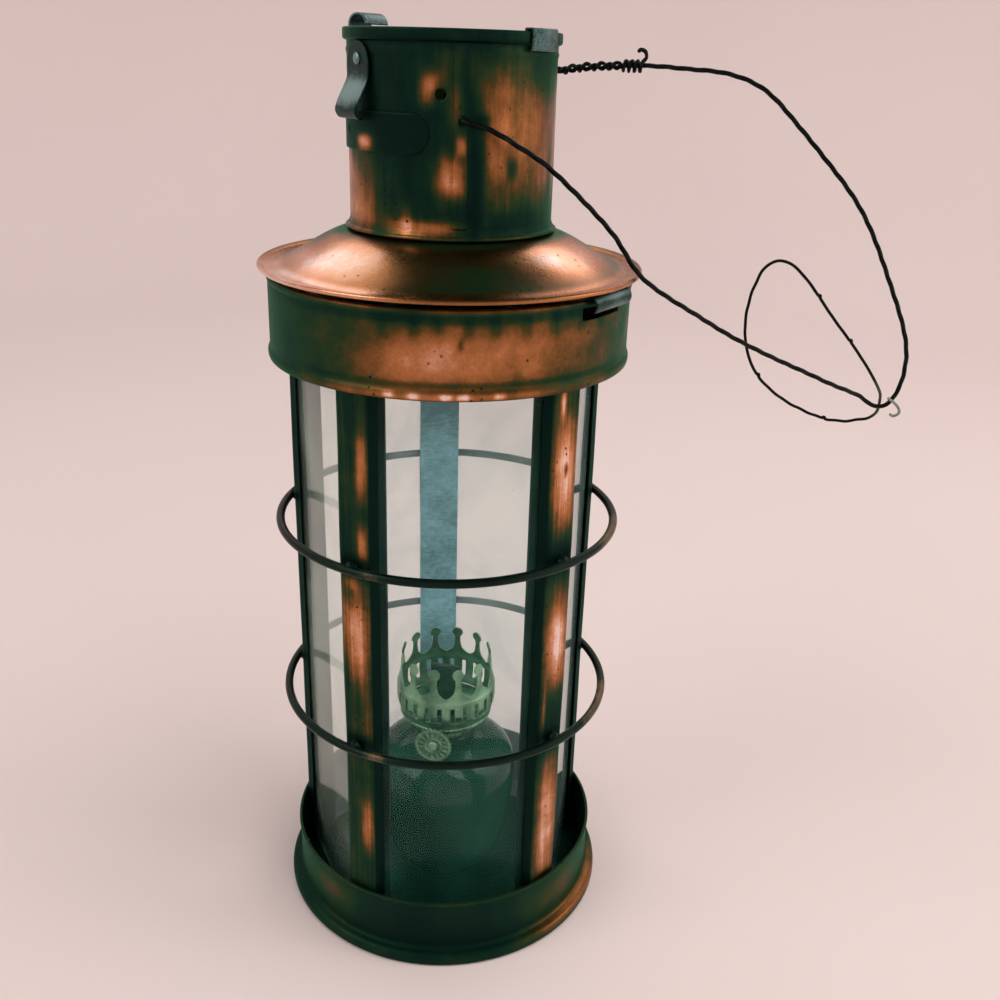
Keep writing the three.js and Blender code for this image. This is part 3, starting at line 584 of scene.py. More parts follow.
def pane(name, film, film_colour):
    """Old window glass: clear, with a faint pale film that thickens in drifts, and small specks; the film is
    partly grime and partly a painted reflection. Lamps shine straight through it."""
    f = Finish(name)
    drifts = f.ranged(f.noise(14, 5, 0.6, distortion=0.8), 0.35, 0.75, 0.5 * film, 1.6 * film)
    specks = f.ranged(f.cells(260), 0.03, 0.09, 1, 0)
    rare = f.ranged(f.noise(75, 2), 0.62, 0.68)
    dirt_and_reflection = f.maths("ADD", drifts, f.maths("MULTIPLY", f.maths("MULTIPLY", specks, rare), 0.85), clamp=True)
    f.set(Base_Color=(0.955, 0.985, 0.975), IOR=1.13, Transmission_Weight=1.0, Roughness=0.01)
    f.bump(f.noise(28, 2, 0.4), 0.05)
    film_shader = f.add("ShaderNodeBsdfPrincipled", Roughness=0.9)
    film_shader.inputs["Base Color"].default_value = (*film_colour, 1)
    covered = f.add("ShaderNodeMixShader")
    f.put(covered.inputs[0], dirt_and_reflection)
    f.put(covered.inputs[1], f.shader.outputs[0])
    f.put(covered.inputs[2], film_shader.outputs[0])
    lit = f.add("ShaderNodeMixShader")
    f.put(lit.inputs[0], f.add("ShaderNodeLightPath").outputs["Is Shadow Ray"])
    f.put(lit.inputs[1], covered.outputs[0])
    f.put(lit.inputs[2], f.add("ShaderNodeBsdfTransparent").outputs[0])
    f.put(f.tree.nodes["Material Output"].inputs["Surface"], lit.outputs[0])
    return f.material


def green_glass(name):
    """Bottle-green pressed glass, nearly opaque where it is thick, with dust on its shoulders."""
    f = Finish(name)
    waves = f.noise(35, 3, 0.5)
    dust = f.ranged(f.noise(120, 5, 0.7), 0.5, 0.75, 0.05, 0.2)
    f.set(Base_Color=f.mixed(waves, (0.004, 0.034, 0.020), (0.010, 0.062, 0.038)))
    f.set(IOR=1.5, Transmission_Weight=0.3, Roughness=dust, Specular_IOR_Level=0.12)
    f.bump(waves, 0.4)
    return f.material


def cotton(name):
    """Flat woven wick: crossing ribs of thread, cream below and charred black towards the top."""
    f = Finish(name)
    weave = f.maths("MULTIPLY", f.noise(1, 1, where=f.stretched((2600, 2600, 300))),
                    f.noise(1, 1, where=f.stretched((300, 300, 2600))))
    height = f.add("ShaderNodeSeparateXYZ", Vector=f.place).outputs["Z"]
    charred = f.ranged(f.sum(height, (f.noise(400, 3), 0.004)), 0.108, 0.114)
    cream = f.mixed(f.ranged(weave, 0.15, 0.4), (0.38, 0.33, 0.22), (0.66, 0.6, 0.46))
    f.set(Base_Color=f.mixed(charred, cream, (0.02, 0.018, 0.016)), Roughness=0.95)
    f.bump(weave, 0.3)
    return f.material


def cloth(name):
    """Pale backdrop cloth with very soft clouds of shade."""
    f = Finish(name)
    clouds = f.noise(1.6, 2, 0.45)
    f.set(Base_Color=f.mixed(clouds, (0.685, 0.575, 0.555), (0.745, 0.635, 0.615)), Roughness=0.95)
    f.bump(f.noise(5, 2, 0.4), 6.0, 0.3)
    return f.material


camera()
lights()

AGED = copper("aged copper", contrast=0.8)
CHIMNEY = copper("streaked chimney copper", cloud=26.0, streaks=(150, 150, 20), contrast=0.66, smooth=0.03)
HOODED = copper("hood copper", cloud=13.0, contrast=0.5, smooth=0.07)
STILE = copper("brushed stile copper", cloud=30.0, streaks=(560, 560, 16), contrast=0.7)
PAN = copper("blackened copper", lift=-0.05, cloud=20.0, contrast=0.6)
TIN = tinned("dull tin", (0.008, 0.040, 0.033), (0.20, 0.34, 0.345), bloomed=0.12)
BARS = tinned("blackened glazing bars", (0.005, 0.022, 0.022), (0.02, 0.055, 0.052), 25.0, 0.5, 0.3, 0.05)
# Painted reflection: the rear glazing bar, seen through the glass, takes a pale teal-blue that stands for the
# bright cloth mirrored on its inner face.
REAR_BAR_PAINTED_REFLECTION = tinned("glazing bar with painted reflection", (0.36, 0.72, 0.83), (0.52, 0.88, 0.96), 25.0, 0.5, 0.0, 0.02)
BRONZE = wire_finish("dark bronze wire", (0.007, 0.024, 0.016), (0.24, 0.17, 0.09), 0.0, 0.4)
BARED = wire_finish("bared iron wire", (0.16, 0.22, 0.17), (0.42, 0.50, 0.40), 0.2, 0.42)
IRON = wire_finish("annealed iron wire", (0.004, 0.009, 0.0075), (0.07, 0.09, 0.075), 0.05, 0.45)
BRASS = tinned("tarnished burner brass", (0.045, 0.125, 0.07), (0.23, 0.40, 0.26), 150.0, 0.36, bloomed=0.3)
COTTON = cotton("woven cotton wick")
FONT_GLASS = green_glass("bottle green glass")
# Film share and colour of each pane: the thicker pale blue film of the rear panes 3 and 4 is partly grime and
# partly a painted reflection in the glass.
PANES = [
    pane(f"pane glass {number}", film, colour)
    for number, film, colour in (
        (1, 0.03, (0.10, 0.60, 0.42)), (2, 0.05, (0.4, 0.66, 0.6)), (3, 0.17, (0.80, 0.90, 0.93)),
        (4, 0.17, (0.80, 0.90, 0.93)), (5, 0.11, (0.52, 0.70, 0.56)),
    )
]


# ------------------------------------------------------------------ pan
def pan():
    wall = [
        (PAN_R - SHEET, 0), (FOOT_R - 1, 0), (FOOT_R, 1.2), (FOOT_R, FOOT_BEAD_H - 2.4),
        (FOOT_R - 1.2, FOOT_BEAD_H - 0.6), (PAN_R + 0.8, FOOT_BEAD_H), (PAN_R, FOOT_BEAD_H + 1.5),
        (PAN_R, PAN_H - 2.6), (PAN_R + 0.6, PAN_H - 2.1), (PAN_R + 0.6, PAN_H - 0.2), (PAN_R - SHEET, PAN_H),
        (PAN_R - SHEET, PAN_H / 2),
    ]
    round_by = [0.1, 0.8, 1.0, 1.2, 1.0, 0.8, 0.8, 0.4, 0.4, 0.4, 0.3, 0]
    profile = dense(eased(wall, round_by, 4, closed=True), 2.0, closed=True)
    # Painted highlight: the strong patch at 62 degrees along the foot bead.
    patches = [
        (-58, 19, 20, 12, 0.27), (-44, 24, 11, 7, 0.14), (44, 19, 17, 12, 0.25), (60, 20, 12, 12, 0.12),
        (62, 5, 30, 3.5, 0.42), (20, 4, 26, 2.5, 0.14), (-30, 5, 24, 2.5, 0.12), (140, 18, 40, 12, 0.22),
        (-150, 15, 30, 10, 0.25), (0, 33.4, 180, 0.8, 0.16), (4, 16, 30, 12, -0.1),
    ]
    turned("pan_shell", profile, PAN, "body", ["pan_wall"], 200, 0.22, 3, 0.2, patches)
    radius = reach("pan_floor")
    disc = [(0, 0), (radius, 0), (radius, 1), (radius - 6, 1.0), (radius * 0.5, 1.0), (0, 1.0)]
    profile = dense(eased(disc, 0.25), 6)
    turned("pan_base", profile, PAN, "body", ["pan_floor"], 120, base=0.12)


# ------------------------------------------------------------------ glazed cage
STILE_PATCHES = {
    1: [(4.2, 250, 3.0, 15, 0.56), (4.4, 214, 2.8, 9, 0.52), (0.4, 170, 6.9, 25, 0.58),
        (5.0, 122, 2.4, 20, 0.2), (3.6, 71, 3.8, 15, 0.44), (-2, 196, 5, 4, 0.2), (-5, 150, 1.6, 10, -0.15),
        (0, 203, 10, 5, -0.35), (0, 114, 10, 5, -0.3), (3, 228, 5, 4, -0.1)],
    2: [(0.6, 244, 6.8, 24, 0.70), (1.2, 164, 6.8, 24, 0.62), (0.6, 68, 6.4, 35, 0.58),
        (-2.2, 275, 1.5, 6, 0.5), (3.5, 273, 3.2, 5, -0.1), (0, 206, 10, 9, -0.42), (1.5, 127, 5, 11, -0.2),
        (-5, 128, 1.2, 12, 0.36), (0, 112, 10, 6, -0.42), (1.2, 245.5, 1.0, 2.6, -0.5), (0, 4, 9, 10, -0.4),
        (-6.3, 215, 1.2, 12, -0.2)],
    3: [(-2, 220, 4, 40, 0.3), (3, 90, 4, 40, 0.3), (0, 204, 9, 5, -0.3), (0, 114, 9, 5, -0.3)],
    4: [(2, 230, 4, 30, 0.35), (-1, 150, 5, 30, 0.35), (2, 60, 4, 30, 0.3), (0, 204, 9, 5, -0.3),
        (0, 114, 9, 5, -0.3)],
    5: [(3, 230, 3, 30, 0.2), (-3, 130, 3, 30, 0.25), (0, 204, 9, 5, -0.3), (0, 114, 9, 5, -0.3)],
}
STILE_BASE = {1: 0.24, 2: 0.3, 3: 0.22, 4: 0.28, 5: 0.05}


def stiles():
    """Folded strips: the section is a flat face, two sloping sides and small lips; it is carried up the
    cage, and the face is hammered a little uneven."""
    half = SHEET / 2
    lip = STILE_FACE_R - STILE_DEPTH
    corners = [
        (-STILE_HALF + 0.3, lip + half), (-STILE_FACE_HALF + 0.3, STILE_FACE_R - half),
        (STILE_FACE_HALF - 0.3, STILE_FACE_R - half), (STILE_HALF - 0.3, lip + half),
    ]
    line = dense(eased(corners, 1.3, 5), 0.7)
    height = np.linspace(CAGE_LOW, CAGE_HIGH, 190)[:, None]
    across, out = line[:, 0][None, :], line[:, 1][None, :]
    for number in range(1, STILES + 1):
        angle = STILE_TURN + (number - 1) * STILE_STEP
        draw = np.random.default_rng(20 + number)
        phase = draw.uniform(0, 6, 3)
        sway = 0.22 * np.sin(height / 31 + phase[0]) + 0.12 * np.sin(height / 11 + phase[1])
        hollow = 0.18 * np.sin(height / 17 + phase[2]) * np.cos(across / 5)
        points = placed(across + sway, out - 0.12 + hollow * 0.8, height + 0 * across, angle)
        tone = toned(across + 0 * height, height + 0 * across, STILE_BASE[number], STILE_PATCHES[number])
        # Painted shade: the tone falls towards black across the sloping sides and lips.
        tone = tone - 0.6 * np.clip((np.abs(across) - STILE_FACE_HALF + 0.3) / 0.9, 0, 1)
        surface(f"stile_strip_{number}", points, STILE, "body", [f"stile_{number}"],
                thickness=SHEET, tone=tone)


RING_PATCHES = [(70, 0, 20, 1, 0.5), (-24, 0, 5, 1, 0.45), (28, 0, 8, 1, 0.15), (150, 0, 30, 1, 0.3)]


def rings():
    """Guard rings: a round section carried round a circle that is a little out of true."""
    angle = np.linspace(0, 360, 220, endpoint=False)
    for seed, (level, z) in enumerate(RING_Z.items()):
        radius = RING_R + handmade(angle, 0, 0.18, 40 + seed)
        path = polar(angle, radius, z + handmade(angle, 0, 0.3, 50 + seed))
        tone = toned(angle, 0 * angle, 0.14, RING_PATCHES, period=360)
        swept(f"guard_ring_{level}_wire", path, WIRE_R - 0.05, BRONZE, "body",
              [f"guard_ring_{level}"], away=(0, 0, 1), sides=18, closed=True, tone=tone[:, None])


def solder_joints():
    """Lumps of solder between each stile and ring: an egg shape, wider at the stile, made uneven by a
    product of sines of its two angles."""
    up = np.linspace(-np.pi / 2, np.pi / 2, 17)[:, None]
    turn = np.linspace(0, 2 * np.pi, 28, endpoint=False)[None, :]
    middle = (STILE_FACE_R + RING_R) / 2 + 0.1
    for level, z in RING_Z.items():
        for number in range(1, STILES + 1):
            angle = STILE_TURN + (number - 1) * STILE_STEP
            draw = np.random.default_rng(number + int(z))
            lump = 1 + 0.1 * np.sin(3 * turn + draw.uniform(0, 6)) * np.cos(2 * up + draw.uniform(0, 6))
            wide, deep, tall = draw.uniform(2.7, 3.2), 2.3, draw.uniform(2.9, 3.6)
            across = wide * lump * np.cos(up) * np.cos(turn)
            out = middle + deep * lump * np.cos(up) * np.sin(turn)
            points = placed(across, out, z + tall * lump * np.sin(up), angle)
            surface(f"solder_{level}_{number}", points, BRONZE, "body",
                    [f"ring_lug_{level}_{number}"], loop_columns=True, tone=0.25 + 0 * across)


# ------------------------------------------------------------------ top band and plate
def top_band():
    """Band of sheet with a rolled wired edge, a half-round bead at its foot and two windows. The sheet's
    middle line is carried round the axis and the windows' cells are left out."""
    half = SHEET / 2
    wall = BAND_R - half
    foot = [(wall + 0.6, BAND_LOW + 0.3), (wall + 0.9, BAND_LOW + 1.2), (wall + 0.9, BAND_LOW + 2.8),
            (wall, BAND_LOW + 4.4)]
    edge = arc(BEAD_AT[0], BEAD_AT[1], BEAD_R - half, -40, 215, 14)
    line = np.concatenate([foot, [(wall, BAND_LOW + 6), (wall, WINDOW_LOW), (wall, WINDOW_HIGH)], edge])
    line = dense(eased(line, 0.5, 3), 1.6)
    angle = np.linspace(-180, 180, 241)[:-1]
    windows = [(centre, np.degrees(half_width / BAND_R)) for centre, half_width in WINDOWS]
    angle = with_lines(angle, [centre + side * wide for centre, wide in windows for side in (-1, 1)])[None, :]
    radius, z = line[:, 0][:, None], line[:, 1][:, None]
    uneven = handmade(angle, z, 0.16, 7)
    points = polar(angle, radius + uneven, z + 0 * angle)
    middle_angle = (angle + np.roll(angle, -1)) / 2
    middle_z = (z[:-1] + z[1:]) / 2
    in_height = (middle_z > WINDOW_LOW - 0.05) & (middle_z < WINDOW_HIGH + 0.05) & (radius[:-1] > wall - 0.2)
    in_angle = np.zeros(angle.shape, bool)
    for centre, wide in windows:
        in_angle |= np.abs(middle_angle - centre) < wide
    keep = ~(in_height & in_angle)
    patches = [
        (11, 298, 38, 14, 0.43), (-11, 296, 16, 12, 0.15), (30, 298, 16, 12, -0.05), (52, 299, 8, 11, 0.08),
        (-62, 298, 16, 16, -0.06), (66, 296, 10, 12, 0.04), (2.5, 303, 0.5, 2.6, -0.7),
        (0, 282.6, 60, 1.5, 0.22), (10, 287.2, 60, 1.1, -0.16), (0, 312.5, 80, 2.0, -0.2),
        (120, 298, 40, 14, 0.28), (-130, 300, 35, 12, 0.3), (170, 296, 30, 12, 0.2), (0, 316, 70, 1.0, 0.2),
        *((at, 309.5, 1.5, 3 + at % 4, -0.16) for at in (-19, -10, -3, 5, 13, 22, 31, 41, 50)),
        *((at, 283, 1.7, 1.3, 0.42) for at in (-17, -10, -1, 4, 14)),
    ]
    tone = toned(angle + 0 * z, z + 0 * angle, 0.29, patches, period=360)
    surface("band_shell", points, AGED, "body", ["top_band"], loop_columns=True, keep=keep,
            thickness=SHEET, tone=tone)
    lip_r, lip_high = PLATE_HOLE_R + SHEET, PLATE_LOW + 3
    plate = [
        (PLATE_HOLE_R, PLATE_LOW), (PLATE_R, PLATE_LOW), (PLATE_R, PLATE_LOW + SHEET),
        (lip_r, PLATE_LOW + SHEET), (lip_r, lip_high), (PLATE_HOLE_R, lip_high),
    ]
    profile = dense(eased(plate, 0.25, 3, closed=True), 3, closed=True)
    turned("top_plate_ring", profile, PAN, "body", ["top_plate"], 160, base=0.2)


# ------------------------------------------------------------------ hood
def dome_rise(radius):
    """Height of the dome over the flange: it falls from the collar in a soft bell to the flange."""
    outer = HOOD_R - 6
    s = np.clip((outer - radius) / (outer - COLLAR_R), 0, 1)
    return SHEET + (HOOD_RISE - SHEET) * (0.25 * s + 0.75 * np.sin(s * np.pi / 2) ** 1.6)


def hood():
    bead = arc(HOOD_R - 1.1, HOOD_LOW + 1.1, 1.1, -90, 100, 10)
    radii = np.linspace(HOOD_R - 6, COLLAR_R + 1.2, 26)
    above = np.stack([radii, HOOD_LOW + dome_rise(radii)], axis=-1)
    below = np.stack([radii[::-1], HOOD_LOW + dome_rise(radii[::-1]) - SHEET], axis=-1)
    collar = [(COLLAR_R, COLLAR_TOP - 4.8), (COLLAR_R, COLLAR_TOP), (COLLAR_R - SHEET, COLLAR_TOP),
              (COLLAR_R - SHEET, COLLAR_TOP - 5.6)]
    corners = np.concatenate([bead, [(HOOD_R - 2.8, HOOD_LOW + SHEET)], above, collar, below,
                              [(HOOD_R - 2.6, HOOD_LOW)]])
    profile = dense(eased(corners, 0.4, 2, closed=True), 2.2, closed=True)
    # Painted highlights: the broad bright patches at -46 and 58 degrees. The slight dark patch at the front
    # centre, at 2 degrees, is partly olive patina and partly a painted dark reflection.
    patches = [
        (-46, 327, 32, 8, 0.5), (-78, 323, 22, 5, 0.2), (58, 328, 28, 7, 0.46), (38, 330, 12, 4, 0.2),
        (150, 327, 40, 8, 0.25), (-150, 328, 30, 8, 0.25), (2, 324, 20, 6, -0.1), (14, 331, 14, 3, 0.14),
        (0, 334.5, 180, 1.6, -0.2), (0, 319.4, 180, 1.2, 0.26), (-100, 330, 26, 5, -0.1),
    ]
    turned("hood_shell", profile, HOODED, "hood", ["hood_dome"], 220, 0.2, 11, 0.44, patches)


# ------------------------------------------------------------------ chimney
CHIMNEY_BASE = 0.12
CHIMNEY_PATCHES = [
    (45, 373, 33, 31, 0.5), (31, 388, 9, 20, 0.1), (24, 366, 8, 16, 0.2), (22, 384, 9, 14, 0.1),
    (80, 372, 9, 34, 0.3), (40, 342, 26, 5, -0.12), (58, 396, 9, 8, -0.12), (33, 362, 3, 4, -0.3),
    (-66, 352, 21, 17, 0.56), (-56, 343, 22, 6, 0.2), (-46, 351, 5, 5, 0.1), (-60, 372, 8, 4, 0.3),
    (0, 359, 8.5, 8.5, 0.6), (5, 371, 3, 4, 0.5),
    (-13, 390, 5, 6, 0.5), (-9, 394, 5, 4, 0.26), (-16, 339.8, 23, 3.2, 0.56), (-24, 343, 4, 6, 0.34),
    # Painted shadow: the dark strip at 12.5 degrees, beside the seam's lapped edge.
    (12.5, 356, 4, 24, -0.34), (0, 400, 12, 5, 0.1), (2, 385, 4, 9, 0.24), (16, 380, 5, 2.5, -0.3),
    (0, 408, 180, 1.2, -0.15), (-80, 385, 7, 40, 0.3), (130, 375, 50, 25, 0.3), (-150, 370, 40, 22, 0.28),
    (0, 336, 180, 1.1, 0.22),
]


HOLE_CORE = 0.75                # half side of a hole's square core, as a share of its radius


def punched(across, height, holes, margin=1.9):
    """Moves a flat grid's lines round each hole. Within a square about the hole, whose half side is margin
    times its radius, a point's distance by the larger of its two offsets runs from the hole's square core to
    the square's edge; the core's outline becomes the circle, the edge stays, and between them it blends.
    Gives the new places and each hole's burr, a low ridge round it."""
    burr = 0
    for at_across, at_height, radius, ridge in holes:
        dx, dz = across - at_across, height - at_height
        square = np.maximum(np.maximum(np.abs(dx), np.abs(dz)), 1e-6)
        core, limit = radius * HOLE_CORE, radius * margin
        share = np.clip((square - core) / (limit - core), 0, 1)
        distance = np.maximum(np.hypot(dx, dz), 1e-6)
        pull = share + (1 - share) * radius * (square / core) / distance
        across = np.where(square < limit, at_across + dx * pull, across)
        height = np.where(square < limit, at_height + dz * pull, height)
        burr = burr + ridge * np.exp(-(((distance - core * 1.5) / 0.8) ** 2))
    return across, height, burr


def chimney():
    """Tube of sheet with a flared foot and a wider rim band; its middle line is carried round the axis,
    and the grid is bent round the bail's two bores and one stray punched hole."""
    half = SHEET / 2
    tube = CHIMNEY_R - half
    corners = [
        (tube + 2.3, CHIMNEY_LOW + 0.5), (tube + 0.7, CHIMNEY_LOW + 1.9), (tube, CHIMNEY_LOW + 4.2),
        (tube, CHIMNEY_TOP - RIM_H - 0.2), (RIM_R - half, CHIMNEY_TOP - RIM_H + 0.4),
        (RIM_R - half, CHIMNEY_TOP - 0.6), (RIM_R - 1.3, CHIMNEY_TOP - half), (tube - 0.2, CHIMNEY_TOP - 1.2),
        (tube - 0.2, CHIMNEY_TOP - 4),
    ]
    line = dense(eased(corners, 0.6, 3), 1.3)
    holes = [(BAIL_AT, PIVOT_Z, BAIL_HOLE_R, 0.0), (PUNCHED_AT, PUNCHED_Z, PUNCHED_R, 0.55),
             (BAIL_AT - 180, PIVOT_Z, BAIL_HOLE_R, 0.0)]
    arcs = [(np.radians(a) * CHIMNEY_R, z, r, ridge) for a, z, r, ridge in holes]
    angle = np.linspace(-185, 175, 241)[:-1]
    lines_across = [a + s * np.degrees(HOLE_CORE * r / CHIMNEY_R) for a, _, r, _ in holes for s in (-1, 1)]
    angle = with_lines(angle, lines_across)
    run = run_along(line)
    marks = [z + s * HOLE_CORE * r for _, z, r, _ in holes for s in (-1, 1)]
    rows = with_lines(run, np.interp(marks, line[:, 1], run))
    radius = np.interp(rows, run, line[:, 0])[:, None]
    z = np.interp(rows, run, line[:, 1])[:, None]
    across = np.radians(angle)[None, :] * CHIMNEY_R + 0 * z
    height = z + 0 * across
    drop = np.zeros((len(z) - 1, len(angle)), bool)
    middle_across = (across[:-1] + np.roll(across, -1, 1)[:-1]) / 2
    middle_z = (height[:-1] + height[1:]) / 2
    for at_across, at_height, hole_r, _ in arcs:
        offset = np.maximum(np.abs(middle_across - at_across), np.abs(middle_z - at_height))
        drop |= offset < HOLE_CORE * hole_r
    on_wall = (radius > tube - 0.05) & (radius < tube + 0.05)
    bent_across, bent_height, burr = punched(across, height, arcs)
    across = np.where(on_wall, bent_across, across)
    height = np.where(on_wall, bent_height, height)
    degrees = np.degrees(across / CHIMNEY_R)
    swage = 0.4 * np.exp(-(((height - CHIMNEY_TOP + 8.4) / 0.7) ** 2)) * (np.abs(degrees + 12) < 160)
    shift = handmade(degrees, height, 0.14, 15) + (burr + swage) * on_wall
    points = polar(degrees, radius + shift, height)
    tone = toned(degrees, height, CHIMNEY_BASE, CHIMNEY_PATCHES, period=360)
    surface("chimney_shell", points, CHIMNEY, "hood", ["chimney_tube"], loop_columns=True,
            keep=~drop, thickness=SHEET, tone=tone)


def chimney_seam():
    """Overlapping edge of the chimney's sheet: it rises out of the tube's face, and its free edge, which
    wanders a little, stands off by its thickness."""
    height = np.linspace(CHIMNEY_LOW + 4.6, CHIMNEY_TOP - RIM_H - 0.4, 90)[:, None]
    share = np.linspace(0, 1, 15)[None, :]
    start = 0.5
    stop = 8.2 + 0.22 * np.sin(height / 4) + 0.15 * np.sin(height / 1.7 + 1)
    across = np.radians(start + (stop - start) * share) * CHIMNEY_R
    middle_across = (across[:-1, :-1] + across[1:, 1:]) / 2
    middle_z = (height[:-1] + height[1:]) / 2
    bail_across = np.radians(BAIL_AT) * CHIMNEY_R
    keep = ~((np.abs(middle_across - bail_across) < 1.2) & (np.abs(middle_z - PIVOT_Z) < 1.4))
    degrees = np.degrees(across / CHIMNEY_R)
    lift = (GAP + SHEET / 2) * np.minimum(share / 0.4, 1) - 0.3 * (1 - share) ** 4 + 0.12 * share**3
    points = polar(degrees, CHIMNEY_R + lift, height + 0 * degrees)
    tone = toned(degrees, height + 0 * degrees, CHIMNEY_BASE, CHIMNEY_PATCHES)
    # Painted shade along the lapped sheet's free edge.
    tone = tone - 0.5 * (share > 0.96)
    surface("seam_strip", points, CHIMNEY, "hood", ["chimney_seam"], keep=keep,
            thickness=SHEET * 0.9, tone=tone)


def fittings():
    """Straps on the chimney and under the hood's flange."""
    half = SHEET / 2
    # clip of the lost cap: a fold over the rim, carried round part of the axis
    inner, outer, crown = CHIMNEY_R - SHEET - GAP - half, RIM_R + GAP + half, CHIMNEY_TOP + GAP + half
    fold = dense(eased([(inner, crown - 5.4), (inner, crown), (outer, crown), (outer, crown - 6.4),
                        (outer - 0.8, crown - 7.6)], 0.5, 4), 0.6)
    angle = np.linspace(41.5, 63.5, 30)[None, :]
    points = polar(angle, fold[:, 0][:, None], fold[:, 1][:, None] + 0 * angle)
    surface("cap_clip_strap", points, TIN, "hood", ["cap_clip"], thickness=SHEET,
            tone=0.35 + 0 * angle)

    # knuckle of the lost cap's hinge
    bore = 3.7
    radius = bore + half
    centre = RIM_R + GAP - bore
    line = np.concatenate([[(centre + radius, CHIMNEY_TOP - 3.5)],
                           arc(centre, CHIMNEY_TOP + 1.2, radius, 0, 180, 24)])
    strap("cap_knuckle_strap", dense(line, 0.8), STRAP_W / 2, HINGE_AT, TIN, "hood",
          ["cap_knuckle"], base=0.45)

    # ear: flat under a rivet, bent outwards and curled under
    flat, start = CHIMNEY_R + GAP + half, CHIMNEY_TOP - RIM_H - 0.5
    elbow = start - 13
    tip = elbow - 11
    corners = [(flat, start), (flat, elbow), (flat + 5.2, tip + 1.6), (flat + 6.2, tip - 1.4),
               (flat + 4.7, tip - 3.8), (flat + 2.2, tip - 4.0)]
    line = dense(eased(corners, [0, 2.5, 2, 1.6, 1.4, 0], 5), 0.55)
    run = run_along(line)
    width = np.maximum(round_end(run, run[-1], 8, (8, 1.5)), 0.02)
    # Painted reflection: the bright patch at 19 mm along the leaf, on the facet bent outwards.
    strap("ear_leaf", line, width, EAR_AT, TIN, "hood", ["ear_strap"], base=0.12,
          patches=[(0, 19, 9, 5.4, 0.75), (0, 5, 7, 4, -0.05), (0, 29, 8, 3, -0.1)])
    dome = eased([(0, -0.6), (1.1, -0.6), (1.1, 0.05), (2.3, 0.05), (2.25, 0.5), (1.5, 1.05), (0.7, 1.25),
                  (0, 1.3)], 0.3, 3)
    turn = np.linspace(0, 2 * np.pi, 28, endpoint=False)[None, :]
    size, out = dome[:, 0][:, None], dome[:, 1][:, None]
    rivet_z = start - 6.5
    points = placed(size * np.cos(turn), flat + half + out + 0 * turn, rivet_z + size * np.sin(turn), EAR_AT)
    surface("ear_rivet_head", points, TIN, "hood", ["ear_rivet"], loop_columns=True,
            tone=0.5 + 0 * (size * turn))

    # round-ended strap flat round the chimney
    middle, tall = PIVOT_Z - 13 + 7.5, 7.5
    around = np.linspace(np.radians(-82) * CHIMNEY_R, np.radians(-22) * CHIMNEY_R + tall, 70)
    width = round_end(around - around[0], around[-1] - around[0], tall, (1.0, tall))
    up = np.linspace(-1, 1, 21)[None, :] * np.maximum(width, 0.02)[:, None]
    degrees = np.degrees(around / CHIMNEY_R)[:, None]
    dimple = 0.5 * np.exp(-((around[:, None] - around[0] - 8) ** 2 + up**2) / 3.0)
    points = polar(degrees, CHIMNEY_R + GAP + 0.36 + dimple, middle + up)
    outline = np.clip(np.abs(up) / np.maximum(width, 0.02)[:, None] - 0.86, 0, 0.14)
    tone = toned(degrees + 0 * up, middle + up, -0.02, [(-52, PIVOT_Z - 9.5, 8, 3.4, 0.85)]) + 1.6 * outline
    surface("side_strap", points, AGED, "hood", ["side_plate"], thickness=0.7, tone=tone)

    # hinge and catch under the flange, curled round the band's wired edge
    for name, node, angle_at, radius, stop, width in (
        ("hinge_leaf", "hinge_strap", HINGE_AT, 2.3, -150, STRAP_W),
        ("catch_leaf", "catch_strap", CATCH_AT, 3.1, -50, CATCH_W),
    ):
        z = HOOD_LOW - GAP - SHEET - radius
        curl = arc(BEAD_AT[0], z, radius + half, stop, 90, 26)
        line = np.concatenate([curl, [(BEAD_AT[0] - 14, z + radius + half)]])
        # Painted highlight: the bright band at 5.4 mm along each curl.
        strap(name, dense(line, 0.7), width / 2, angle_at, TIN, "hood", [node], base=0.2,
              patches=[(0, 5.4, 16, 1.2, 0.4), (0, 1, 16, 1.2, 0.15)])


# ------------------------------------------------------------------ bail and loop
def bail_end(angle):
    inside = CHIMNEY_R - 6
    spots = [(inside - 2, PIVOT_Z + 8), (inside - 0.6, PIVOT_Z + 2), (inside + 1.5, PIVOT_Z),
             (CHIMNEY_R, PIVOT_Z), (CHIMNEY_R + 3, PIVOT_Z)]
    return [tuple(polar(angle, radius, z)) for radius, z in spots]


BAIL_R, WRAP_R, LOOP_R = 1.1, 0.9, 0.8
TWIST_TURNS = 4.4
BAIL_ROUTE = [
    *bail_end(BAIL_AT),
    (8, -46.9, PIVOT_Z - 1), (15, -46.6, 377), (27, -46.2, 370.5), (36, -44.5, 365), (51, -40, 352),
    (64, -35, 338.8), (76, -31, 323.2), (90, -27, 312.5), (110, -21, 300), (141, -13, 284), (168, -7, 271.5),
    (188, -2.4, 263.6), (197, 0, 257.6), (203, 0, 258.6), (206.8, -1, 266), (208, -1, 276), (206, -1, 288),
    (197, 1, 311), (186, 3, 333), (170, 7, 356), (148, 12, 379), (132, 16, 393), (117, 19.5, 398.8),
    (97, 25, 400), (64, 35.6, 399.8), (46, 44, 396.9), (30, 48.6, 391.4), (14, 48.2, 384.5),
    (1, 47.2, PIVOT_Z + 0.8),
    *bail_end(BAIL_AT + 180)[::-1],
]
LOOP_ROUTE = [
    (199, 0.4, 263.4), (200.4, 3, 258.4), (198.5, 1, 253.4), (189, 0, 250.6), (177, 0, 250.6),
    (163, 0, 255.4), (151, 0, 262), (140, 0, 272), (134, 0, 284), (132, 0, 298), (134.5, 0, 313),
    (139.5, 0, 321.8), (147, 0, 323), (155, 0, 317.6), (172, 0, 298), (184, 0, 284.4), (194, 0, 271.6),
]


